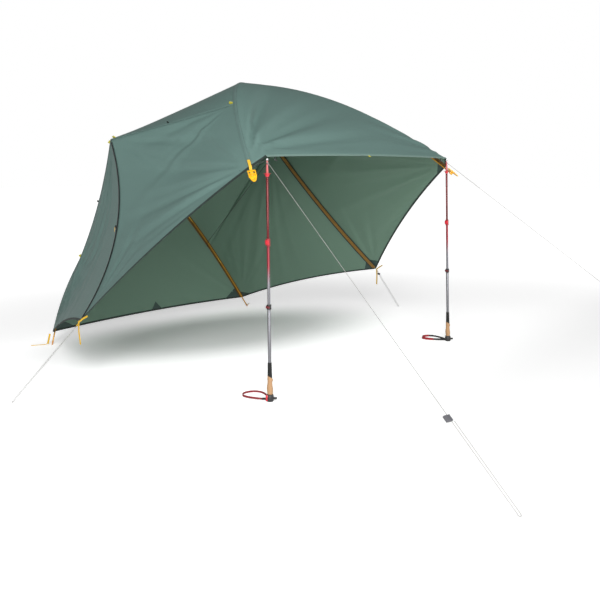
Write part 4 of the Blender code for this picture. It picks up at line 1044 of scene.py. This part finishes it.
def turn(name, stations, place, material, segments=36):
    # stations: along the axis, radius, how far the ring's middle is off it, and how far the ring leans
    stations = [(*one, *(0.0,) * (4 - len(one))) for one in stations]
    bpy.ops.object.select_all(action="DESELECT")
    z, r, y, lean = stations[0]
    bpy.ops.mesh.primitive_circle_add(vertices=segments, radius=r, location=(0, 0, 0))
    piece = bpy.context.object
    piece.name = piece.data.name = name
    bpy.ops.object.mode_set(mode="EDIT")
    bpy.ops.mesh.select_all(action="SELECT")
    bpy.ops.transform.translate(value=(0, y, z))
    if lean:
        tip(lean, (0, y, z))
    for nextZ, nextR, nextY, nextLean in stations[1:]:
        bpy.ops.mesh.extrude_edges_move(TRANSFORM_OT_translate={"value": (0, nextY - y, nextZ - z)})
        if nextLean != lean:
            tip(nextLean or -lean, (0, nextY, nextZ))
        bpy.ops.transform.resize(value=(nextR / r,) * 3, center_override=(0, nextY, nextZ))
        z, r, y, lean = nextZ, nextR, nextY, nextLean
    bpy.ops.mesh.select_all(action="SELECT")
    bpy.ops.mesh.remove_doubles(threshold=1e-6)
    bpy.ops.mesh.fill_holes(sides=0)
    bpy.ops.mesh.select_all(action="SELECT")
    bpy.ops.mesh.normals_make_consistent(inside=False)
    bpy.ops.object.mode_set(mode="OBJECT")
    piece.data.materials.append(material)
    placed(piece, place)
    return smoothed(piece)


def tip(angle, centre):
    # leans the last ring to a slanted cut without narrowing it, or sets it level again
    if angle < 0:
        bpy.ops.transform.resize(value=(1, math.cos(angle), 1), center_override=centre)
        bpy.ops.transform.rotate(value=angle, orient_axis="X", center_override=centre)
        return
    bpy.ops.transform.rotate(value=angle, orient_axis="X", center_override=centre)
    bpy.ops.transform.resize(value=(1, 1 / math.cos(angle), 1), center_override=centre)


def blockPiece(name, low, high, place, material, edge, taper=None):
    bpy.ops.object.select_all(action="DESELECT")
    bpy.ops.mesh.primitive_cube_add(size=1)
    piece = bpy.context.object
    piece.name = piece.data.name = name
    size = [b - a for a, b in zip(low, high)]
    centre = [(a + b) / 2 for a, b in zip(low, high)]
    bpy.ops.object.mode_set(mode="EDIT")
    bpy.ops.mesh.select_all(action="SELECT")
    bpy.ops.transform.resize(value=size, center_override=(0, 0, 0))
    bpy.ops.transform.translate(value=centre)
    if taper:
        # draws one end in: the axis, its sign and the share left
        axis, sign, share = taper
        bpy.ops.mesh.select_mode(type="FACE")
        bpy.ops.object.mode_set(mode="OBJECT")
        for face in piece.data.polygons:
            face.select = face.normal[axis] * sign > 0.9
        bpy.ops.object.mode_set(mode="EDIT")
        centre[axis] = high[axis] if sign > 0 else low[axis]
        bpy.ops.transform.resize(value=share, center_override=centre)
    bpy.ops.object.mode_set(mode="OBJECT")
    applied(piece, "BEVEL", width=edge, segments=3)
    piece.data.materials.append(material)
    placed(piece, place)
    return smoothed(piece)


def joined(name, pieces):
    choose(pieces[0])
    for piece in pieces[1:]:
        piece.select_set(True)
    bpy.ops.object.join()
    pieces[0].name = pieces[0].data.name = name
    return pieces[0]


def softened(nodeName, material, edge=0.0006):
    # the solid's own shape with its edges rounded
    piece = linked(named(nodeName.replace("trek", "pole")), nodes[nodeName].data.copy())
    choose(piece)
    bpy.ops.object.mode_set(mode="EDIT")
    bpy.ops.mesh.select_all(action="SELECT")
    bpy.ops.mesh.remove_doubles(threshold=1e-5)
    bpy.ops.mesh.dissolve_limited(angle_limit=math.radians(1.5))
    bpy.ops.object.mode_set(mode="OBJECT")
    if edge:
        applied(piece, "BEVEL", width=edge, segments=2, limit_method="ANGLE", angle_limit=math.radians(40),
                use_clamp_overlap=True)
    for face in piece.data.polygons:
        face.material_index = 0
    smoothed(piece, 40)
    return settle(piece, nodeName, material)


# Trekking poles: every height is measured from the tip, which is uppermost

pole = {
    "ferruleEnd": 0.085,
    "ferruleRing": (0.022, 0.005, 7),  # the first, how far apart, how many
    "basketAt": 0.072,
    "basketRadius": 0.0175,
    "lower": 0.0060,
    "middle": 0.0070,
    "upper": 0.0082,
    "wall": 0.0006,
    "lowerLock": 0.378,
    "upperLock": 0.688,
    "lockUp": 0.008,
    "lowerLockLong": 0.034,
    "upperLockLong": 0.023,
    "lockWall": 0.0034,
    "pinAway": 0.0036,
    "earHalf": 0.0034,
    "overlap": 0.170,
    "foamAt": 0.959,
    "corkAt": 1.027,
    "headAt": 1.113,
    "slant": 0.60,
    "gap": 0.0003,
    "loose": 0.0004,
    # the cork's rings: from its slanted end, how wide, and how far off the shaft's middle
    "cork": ((0.012, 0.0128, -0.0006), (0.0165, 0.0138, -0.0020), (0.0190, 0.0134, -0.0018),
             (0.0250, 0.0119, 0.0), (0.0330, 0.0117, 0.0004), (0.0450, 0.0134, 0.0010),
             (0.0580, 0.0148, 0.0006), (0.0700, 0.0147, -0.0002), (0.0790, 0.0138, -0.0003),
             (0.0852, 0.0132), (0.0857, 0.0122)),
    "dome": ((0, 0.0125), (0.0012, 0.0150), (0.0080, 0.0178), (0.0180, 0.0188), (0.0270, 0.0182),
             (0.0350, 0.0160)),
}
straps = {
    "long": 0.152,
    "half": 0.050,
    "points": 56,
    "thick": 0.0022,
    "offGround": 0.0068,
    "startAt": 0.026,
    "startOut": 0.021,
    # the padded part is two short sleeves on the left pole and along the far side on the right one
    "left": {"aim": 0.10, "wide": 0.0098, "web": strapWeb, "pad": (0.0120, 0.0044, strapBlack),
             "spans": ((50, 55), (1, 6))},
    "right": {"aim": -0.08, "wide": 0.0120, "web": strapBlack, "pad": (0.0150, 0.0052, strapRed),
              "spans": ((22, 44),)},
}
webProfile = ((-1, -0.5), (-0.94, -1), (0.94, -1), (1, -0.5), (1, 0.5), (0.94, 1), (-0.94, 1), (-1, 0.5))


def shaft(name, radius, start, end, place, material):
    hollow = radius - pole["wall"]
    stations = [(start, hollow), (start, radius - 0.0002), (start + 0.0003, radius), (end - 0.0003, radius),
                (end, radius - 0.0002), (end, hollow), (start, hollow)]
    return turn(name, stations, place, material)


def lockBody(name, radius, start, end, place, material):
    inner = radius + pole["loose"]
    outer = inner + pole["lockWall"]
    rim = [(0, -0.0012), (0.0006, -0.0003), (0.0020, 0), (0.0042, 0), (0.0048, -0.0006)]
    stations = [(start, inner)] + [(start + z, outer + r) for z, r in rim]
    stations += [(end - z, outer + r) for z, r in reversed(rim)] + [(end, inner), (start, inner)]
    ring = turn(name, stations, place, material, 44)
    pin = outer + pole["gap"] + pole["pinAway"]
    half = pole["earHalf"]
    ears = [blockPiece("ear", (outer - 0.0015, -half, low), (pin + half, half, low + 0.005), place, material,
                       0.0014) for low in (start + 0.0015, end - 0.0065)]
    rivet = turn("rivet", [(start + 0.0010, 0.0010), (start + 0.0013, 0.0016), (end - 0.0013, 0.0016),
                           (end - 0.0010, 0.0010)], place @ Matrix.Translation((pin, 0, 0)), material, 16)
    return joined(name, [ring, *ears, rivet])


def webStrip(name, route, across, width, thick, material, nodeName, closed=False, along=None):
    # flat webbing through the points, its width along across
    route = [Vector(p) for p in route]
    rings, far = [], 0.0
    count = len(route)
    for i, p in enumerate(route):
        before = route[(i - 1) % count] if closed else route[max(i - 1, 0)]
        after = route[(i + 1) % count] if closed else route[min(i + 1, count - 1)]
        run = (after - before).normalized()
        way = Vector(across[i]) if isinstance(across, list) else Vector(across)
        wide = (way - run * way.dot(run)).normalized()
        deep = run.cross(wide)
        far += (p - route[i - 1]).length if i else 0.0
        half = width / 2 * (along(i / (count - 1)) if along else 1.0)
        rings.append([(p + wide * x * half + deep * y * thick / 2, (far, x * half)) for x, y in webProfile])
    mesh = skinned(name, rings, 60, far + 0.01 if closed else None)
    return settle(linked(name, mesh), nodeName, material)


def rounder(points):
    # cuts the corners of a route twice
    points = [Vector(p) for p in points]
    for _ in range(2):
        finer = [points[0]]
        for p, q in zip(points, points[1:]):
            finer += [p.lerp(q, 0.25), p.lerp(q, 0.75)]
        points = finer + [points[-1]]
    return points


def wristStrap(side, hand, place):
    own, count, nodeName = straps[hand], straps["points"], f"trek_{hand}_strap"
    ahead = Vector((own["aim"], 1, 0)).normalized()
    aside = Vector((ahead.y, -ahead.x, 0))
    start = place @ Vector((0, 0, pole["headAt"] + straps["startAt"])) + ahead * straps["startOut"]
    base = Vector((start.x, start.y, 0))
    route, lean = [], []
    for k in range(count):
        around = 2 * math.pi * k / count
        x = straps["long"] / 2 * (1 - math.cos(around))
        y = straps["half"] * math.sin(around) * (1 - 0.45 * math.cos(around))
        up = straps["offGround"] - 0.0016 * math.sin(around)
        route.append(base + ahead * x + aside * y + Vector((0, 0, up)))
        lean.append(Vector((0, 0, 1)) + aside * 0.35 * math.sin(around * 2 + side))
    webStrip(named("wristStrap", hand), route, lean, own["wide"], straps["thick"], own["web"], nodeName, True)
    for k, (first, last) in enumerate(own["spans"]):
        part = [i % count for i in range(first, last + 1)]
        webStrip(named("strapPad", hand) + str(k), [route[i] for i in part], [lean[i] for i in part],
                 *own["pad"], nodeName, along=lambda t: 0.82 + 0.18 * math.sin(math.pi * t))
    lead = [place @ Vector((0, 0.006, pole["headAt"] + 0.020)), start + Vector((0, 0, 0.002)), route[1]]
    webStrip(named("strapLead", hand), rounder(lead), (0, 0, 1), 0.0120, 0.0020, strapBlack, nodeName)


for side, hand in sides:
    place, reach = trekFrame(side)
    name, bore = f"trek_{hand}_", pole["lower"] + pole["loose"]
    point = [(0.0, 0.0009), (0.0008, 0.0015), (0.0030, 0.0022), (0.0120, 0.0023)]
    settle(turn(named("poleTip", hand), point, place, bareMetal, 20), name + "tip")
    ferrule = [(0.0115, 0.0026), (0.0120, 0.0034), (0.0150, 0.0039)]
    first, apart, count = pole["ferruleRing"]
    for k in range(count):
        ferrule += [(first + apart * k + z, r + 0.00028 * k)
                    for z, r in ((0, 0.0041), (0.0012, 0.0043), (0.0034, 0.0042))]
    ferrule += [(0.0600, 0.0060), (pole["ferruleEnd"] - 0.0006, 0.0060), (pole["ferruleEnd"], 0.0056)]
    settle(turn(named("poleFerrule", hand), ferrule, place, paleTip), name + "tip")
    rim = pole["basketRadius"]
    basket = [(0.012, bore), (-0.002, bore), (-0.002, rim - 0.0010), (-0.0014, rim), (-0.0004, rim),
              (0, 0.0168), (0.0004, 0.0120), (0.0024, 0.0098), (0.0110, 0.0086), (0.012, 0.0080),
              (0.012, bore)]
    basket = [(pole["basketAt"] + z, r) for z, r in basket]
    settle(turn(named("poleBasket", hand), basket, place, brightRed, 48), name + "basket")
    for part, start, end, material in (
            ("lower", pole["ferruleEnd"] + pole["gap"], pole["lowerLock"] + pole["overlap"], redTube),
            ("middle", pole["lowerLock"], pole["upperLock"] + pole["overlap"], fadeTube),
            ("upper", pole["upperLock"], pole["headAt"], greyTube)):
        tube = shaft(named("shaft", part, hand), pole[part], start, end, place, material)
        settle(tube, f"{name}shaft_{part}")
    for part, tube, material, leverRed in (("lower", "middle", lockRed, brightRed),
                                           ("upper", "upper", blackPlastic, darkRed)):
        start = pole[part + "Lock"] - pole["lockUp"]
        end = start + pole[part + "LockLong"]
        lock = lockBody(named("lock", part, hand), pole[tube], start, end, place, material)
        settle(lock, f"{name}lock_{part}")
        softened(f"{name}lever_{part}", leverRed, 0.0005)
    hold, low, cut, lean = pole["upper"] + pole["loose"], pole["foamAt"], pole["corkAt"], pole["slant"]
    foam = [(low, hold), (low, 0.0090), (low + 0.0012, 0.0097), (low + 0.030, 0.0103), (cut - 0.010, 0.0109),
            (cut, 0.0112, 0, lean), (cut, hold, 0, lean), (low, hold)]
    settle(turn(named("foam", hand), foam, place, blackFoam, 40), name + "foam")
    start = (cut + 0.0003, hold, 0, lean)
    cork = [start, (cut + 0.0003, 0.0113, 0, lean), *((cut + one[0], *one[1:]) for one in pole["cork"]),
            (cut + 0.0857, hold), start]
    settle(turn(named("cork", hand), cork, place, corkGrip, 48), name + "cork")
    at = pole["headAt"]
    dome = [(at + pole["gap"] + z, r) for z, r in pole["dome"]] + [(reach, 0.0125), (reach + 0.0020, 0.0080)]
    head = [turn("dome", dome, place, headBlack, 40),
            blockPiece("beak", (-0.0105, -0.033, at + 0.008), (0.0105, -0.008, reach - 0.001), place,
                       headBlack, 0.0030, (1, -1, (0.55, 1, 0.42))),
            blockPiece("collar", (-0.0125, -0.0150, at + 0.0005), (0.0125, 0.0150, at + 0.007), place,
                       headBlack, 0.0028)]
    settle(joined(named("poleHead", hand), head), name + "head")
    if side < 0:
        inset = blockPiece("poleHeadInset", (-0.0140, 0.0045, at + 0.0025), (0.0140, 0.0210, reach - 0.0020),
                           place, brightRed, 0.0045)
        settle(inset, name + "head")
    wristStrap(side, hand, place)
print("trekking poles done")

# Pole frame

frameParts = {"ferruleShares": (0.36, 0.68), "pullStart": 0.0068}


def legRoute(side, front):
    shares = [tent["tabShare"] * k / 8 for k in range(8)] + steps(tent["tabShare"], 1, 6)
    return [legRoutePoint(t, side, front) for t in shares]


def ferrules(name, route, nodeName):
    lengths = [0.0]
    for p, q in zip(route, route[1:]):
        lengths.append(lengths[-1] + (q - p).length)
    for k, share in enumerate(frameParts["ferruleShares"]):
        far = share * lengths[-1]
        i = max(n for n in range(len(route) - 1) if lengths[n] <= far)
        p, q = route[i], route[i + 1]
        at = p.lerp(q, (far - lengths[i]) / (q - p).length)
        sleeve = turn(f"{name}{k}", [(-0.026, 0.0044), (-0.0255, 0.0051), (0.0255, 0.0051), (0.026, 0.0044)],
                      basis(at, q - p), ferruleGold, 20)
        settle(sleeve, nodeName)


def cornerStrap(side, hand):
    # the webbing through the buckle, the band from it to the pole's tip, and the eyelet on that tip
    route = legRoute(side, True)
    end = route[-1]
    corner = basis(end, end - route[-2], Vector(world(legPoint(1, side, True))) - end)
    nodeName = f"strap_front_{hand}"
    line = [corner @ Vector((x, 0, z)) for x, z in ((0.0215, -0.034), (0.0215, 0.0080), (0.0192, 0.0135),
                                                    (0.0148, 0.0185), (0.0117, 0.0240), (0.0115, 0.070))]
    webStrip(named("cornerStrap", hand), rounder(line), corner.to_3x3() @ Vector((0, 1, 0)), 0.0135, 0.0014,
             yellowWebbing, nodeName)
    place, _ = trekFrame(side)
    eyelet = place @ Vector((0, 0, 0.0065))
    inner = corner @ Vector((0.0165, 0, 0.0165))
    near = eyelet + (inner - eyelet).normalized() * 0.0045
    line = rounder([near, near.lerp(inner, 0.5) + Vector((0, 0, -0.003)), inner])
    webStrip(named("cornerBand", hand), line, (0, 0.3, 1), 0.0050, 0.0016, darkBinding, nodeName)
    ring = [(0.0035, 0.0040), (0.0035, 0.0062), (0.0042, 0.0066), (0.0088, 0.0066), (0.0095, 0.0062),
            (0.0095, 0.0040), (0.0035, 0.0040)]
    settle(turn(named("eyelet", hand), ring, place, bareMetal, 28), nodeName)


def zipSlider(side, hand):
    runner = softened(f"zip_slider_{hand}", slider)
    runner.data.materials.append(yellowPlastic)
    start, ahead = (Vector(world(zipPoint(t, side))) for t in (0.5, 0.51))
    way = (ahead - start).normalized()
    for face in runner.data.polygons:
        # the pull is what reaches past the body's end
        face.material_index = int((face.center - start).dot(way) > frameParts["pullStart"])


for side, hand in sides:
    for front, word in ends:
        softened(f"leg_{word}_{hand}", goldTube, 0)
        ferrules(named("legFerrule", word, hand), legRoute(side, front), f"leg_{word}_{hand}")
    cornerStrap(side, hand)
    softened(f"foot_{hand}", orangePlastic, 0.0005)
    softened(f"buckle_front_{hand}", yellowPlastic, 0.0009)
    softened(f"tensioner_{hand}", tensionerGrey, 0.0030)
    zipSlider(side, hand)
    for word in ("rear", "wing"):
        softened(f"strap_{word}_{hand}", yellowWebbing, 0)
for name in ("hub_front", "hub_rear", "ridge_clip", "cord_lock_right"):
    softened(name, blackPlastic, 0.0009)
for name in ("spine_pole", "ridge_pole"):
    softened(name, goldTube, 0)
print("frame done")

for side, hand in sides:
    for word, route, rider in (("front", frontGuy, "tensioner"), ("side", sideGuy, "cord_lock")):
        name = f"{rider}_{hand}"
        makeCord(named("guyline", word, hand), route(side), cords["guyRadius"], guyCord,
                 f"guyline_{word}_{hand}")
makeCord("tieCord", tieRoute(), cords["tieRadius"], blackCord, "tie_cord")
print("cords done")

# Tabs on the cloth

tabs = {
    # along the ridge half and across it, half width, height, material
    "Ridge": (0.985, 0.03, 0.010, 0.018, tabYellow),
    "Fold": (0.985, 0.485, 0.006, 0.016, darkBinding),
    "Leg": (0.98, 0.97, 0.010, 0.018, tabYellow),
    "start": 0.0004,
    "halfThick": 0.0010,
    "edge": 0.0007,
    "toggleAt": (0.095, 0.905),
    "toggle": ((-0.011, 0.0018), (-0.010, 0.0028), (0.010, 0.0028), (0.011, 0.0018)),
}


def tab(name, half, tall, place, material):
    start, deep = tabs["start"], tabs["halfThick"]
    return blockPiece(name, (-half, -deep, start), (half, deep, tall), place, material, tabs["edge"])


def allTabs():
    for side, hand in sides:
        for front, word in ends:
            for kind in ("Ridge", "Fold", "Leg"):
                u, v, half, tall, material = tabs[kind]
                at = world(roofPoint(side * u, v, front))
                run = world(roofPoint(side * u, v + 0.02, front)) - at
                place = basis(at, at - world(inside), run)
                yield "flyRoof", tab(named(f"tab{kind}", word, hand), half, tall, place, material)
    for front, word, share, down in ((True, "Front", 0.998, (0, -1, -0.6)),
                                     (False, "Rear", tent["hemShare"] - 0.002, (0, 1, -0.4))):
        place = basis(world(endPoint(0.5, share, front)), down, (1, 0, 0))
        yield f"flyEnd{word}", tab(f"tabHem{word}", 0.008, 0.016, place, tabYellow)
    for u, (_, hand) in zip(tabs["toggleAt"], sides):
        place = basis(world(endPoint(u, 0.998, True)), (0, -0.1, -1), (1, 0, 0))
        hang = place @ Matrix.Translation((0, 0, 0.0195)) @ Matrix.Rotation(math.radians(78), 4, "Y")
        yield "flyEndFront", blockPiece(named("toggleTab", hand), (-0.004, -0.0009, 0.0),
                                        (0.004, 0.0009, 0.018), place, darkBinding, 0.0006)
        yield "flyEndFront", turn(named("toggle", hand), tabs["toggle"], hang, blackPlastic, 16)


for name, piece in allTabs():
    trims[name].append(worn(piece))
for name, (piece, area) in sheets.items():
    us, vs = measured(panels[name][0])
    flat = (us[-1] * cloth["cutMargin"], vs[-1] * cloth["cutMargin"])
    min(area, flat[0] * flat[1])
    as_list(trims[name])
print("tabs done")

# Floor, light and camera

studio = {
    "floor": 0.9,
    # the floor's painted glow: in the oval of painted shadow, round about it, and far off
    "floorGlow": 0.02,
    "nearGlow": 0.50,
    "farGlow": 1.0,
    # the oval of painted shadow under the tent, where the floor's painted glow stays faint, from where to
    # where it clears, and the reach of the lamps, past which the glow paints the floor white
    "shadeAt": (0.062, 0.328),
    "shadeTurn": -0.205,
    "shadeSize": (1.244, 0.633),
    "shadeSpan": (0.41, 1.27),
    "litAt": (-0.9, -2.4, 0),
    "litSpan": (3.6, 7.5),
    # how far the floor's colour is dimmed before the tent, and over what span: painted shade
    "glare": 0.36,
    "glareSpan": (-0.8, -1.7),
    "sky": 0.10,
    "horizon": 0.80,
    "zenith": 0.06,
    # where each lamp stands, the height it is aimed at, its size and its power
    "lamps": {"keyLamp": ((-4.52, -4.52, 4.77), 0.3, 2.6, 350),
              "fillLamp": ((-5.62, -4.72, 2.26), 0.7, 3.0, 300),
              "frontLamp": ((1.6, -7.0, 2.6), 0.5, 3.0, 170)},
}
view = {"at": (-3.4467, -3.3736, 1.1198), "yaw": 0.7077, "pitch": 0.175, "lens": 46.205}


def whiteForCamera(tree, shader):
    # painted light and shadow: the floor glows for the camera and in reflections, faintly in an oval under
    # the tent, which leaves a painted shadow there, and more round about, which paints it white where the
    # lamps no longer reach
    rays = node(tree, "LightPath").outputs
    seen = maths(tree, "MAXIMUM", rays["Is Camera Ray"], rays["Is Glossy Ray"])
    place = node(tree, "TexCoord").outputs["Object"]
    oval = {"Vector": place, "Location": (*studio["shadeAt"], 0), "Rotation": (0, 0, studio["shadeTurn"]),
            "Scale": (*studio["shadeSize"], 1)}
    shade = node(tree, "Mapping", oval, vector_type="TEXTURE").outputs[0]
    far = node(tree, "VectorMath", {0: shade}, operation="LENGTH").outputs["Value"]
    beyond = node(tree, "VectorMath", {0: place, 1: studio["litAt"]}, operation="DISTANCE").outputs["Value"]
    glow = plus(tree, smoothStep(tree, far, studio["shadeSpan"], studio["floorGlow"], studio["nearGlow"]),
                smoothStep(tree, beyond, studio["litSpan"], 0, studio["farGlow"] - studio["nearGlow"]))
    tree.links.new(times(tree, seen, glow), shader.inputs["Emission Strength"])
    # painted shade: the floor's colour is dimmed before the tent, where the lamps light it past white, which
    # would hide the guylines
    glare = smoothStep(tree, split(tree, place)["Y"], studio["glareSpan"], 0, studio["glare"])
    dimmed = maths(tree, "SUBTRACT", 1.0, times(tree, seen, glare))
    tree.links.new(times(tree, dimmed, studio["floor"]), shader.inputs["Base Color"])


bpy.ops.mesh.primitive_plane_add(size=60, location=(0, 0, -0.0005))
floor = bpy.context.object
floor.name = "studioFloor"
floorFinish = bpy.data.materials.new("studioFloor")
floorFinish.use_nodes = True
floorShader = floorFinish.node_tree.nodes["Principled BSDF"]
floorShader.inputs["Roughness"].default_value = 0.9
floorShader.inputs["Specular IOR Level"].default_value = 0.1
floorShader.inputs["Emission Color"].default_value = (1, 1, 1, 1)
whiteForCamera(floorFinish.node_tree, floorShader)
floor.data.materials.append(floorFinish)
floor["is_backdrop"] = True

sky = bpy.data.worlds.new("studio")
bpy.context.scene.world = sky
sky.use_nodes = True
air = sky.node_tree
paint = air.nodes["Background"]
# white to the camera, a dimmer vault in reflections, and little light of its own
rays = node(air, "LightPath").outputs
height = split(air, node(air, "TexCoord").outputs["Generated"])["Z"]
vault = node(air, "MapRange", {"Value": height, "From Min": 0.05, "From Max": 0.6,
                               "To Min": studio["horizon"], "To Max": studio["zenith"]}).outputs["Result"]
glossy = times(air, rays["Is Glossy Ray"], vault)
diffuse = times(air, rays["Is Diffuse Ray"], studio["sky"])
paint.inputs["Color"].default_value = (1, 1, 1, 1)
air.links.new(plus(air, plus(air, rays["Is Camera Ray"], glossy), diffuse), paint.inputs["Strength"])

for name, (at, aim, size, power) in studio["lamps"].items():
    bulb = bpy.data.lights.new(name, "AREA")
    bulb.size = size
    bulb.energy = power
    lamp = linked(name, bulb)
    lamp.location = at
    lamp.rotation_euler = (Vector((0, 0, aim)) - Vector(at)).to_track_quat("-Z", "Y").to_euler()

photo = bpy.data.cameras.new("photoCamera")
photo.lens = view["lens"]
photo.sensor_width = 36
photo.clip_start, photo.clip_end = 0.05, 200
camera = linked("photoCamera", photo)
camera.location = view["at"]
yaw, pitch = view["yaw"], view["pitch"]
ahead = Vector((math.cos(yaw) * math.cos(pitch), math.sin(yaw) * math.cos(pitch), -math.sin(pitch)))
camera.rotation_euler = ahead.to_track_quat("-Z", "Y").to_euler()
bpy.context.scene.camera = camera
bpy.context.scene.view_settings.view_transform = "Standard"

boxes = {"cad": cadBox, "visual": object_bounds()}
{key: [list(corner) for corner in box] for key, box in boxes.items()}
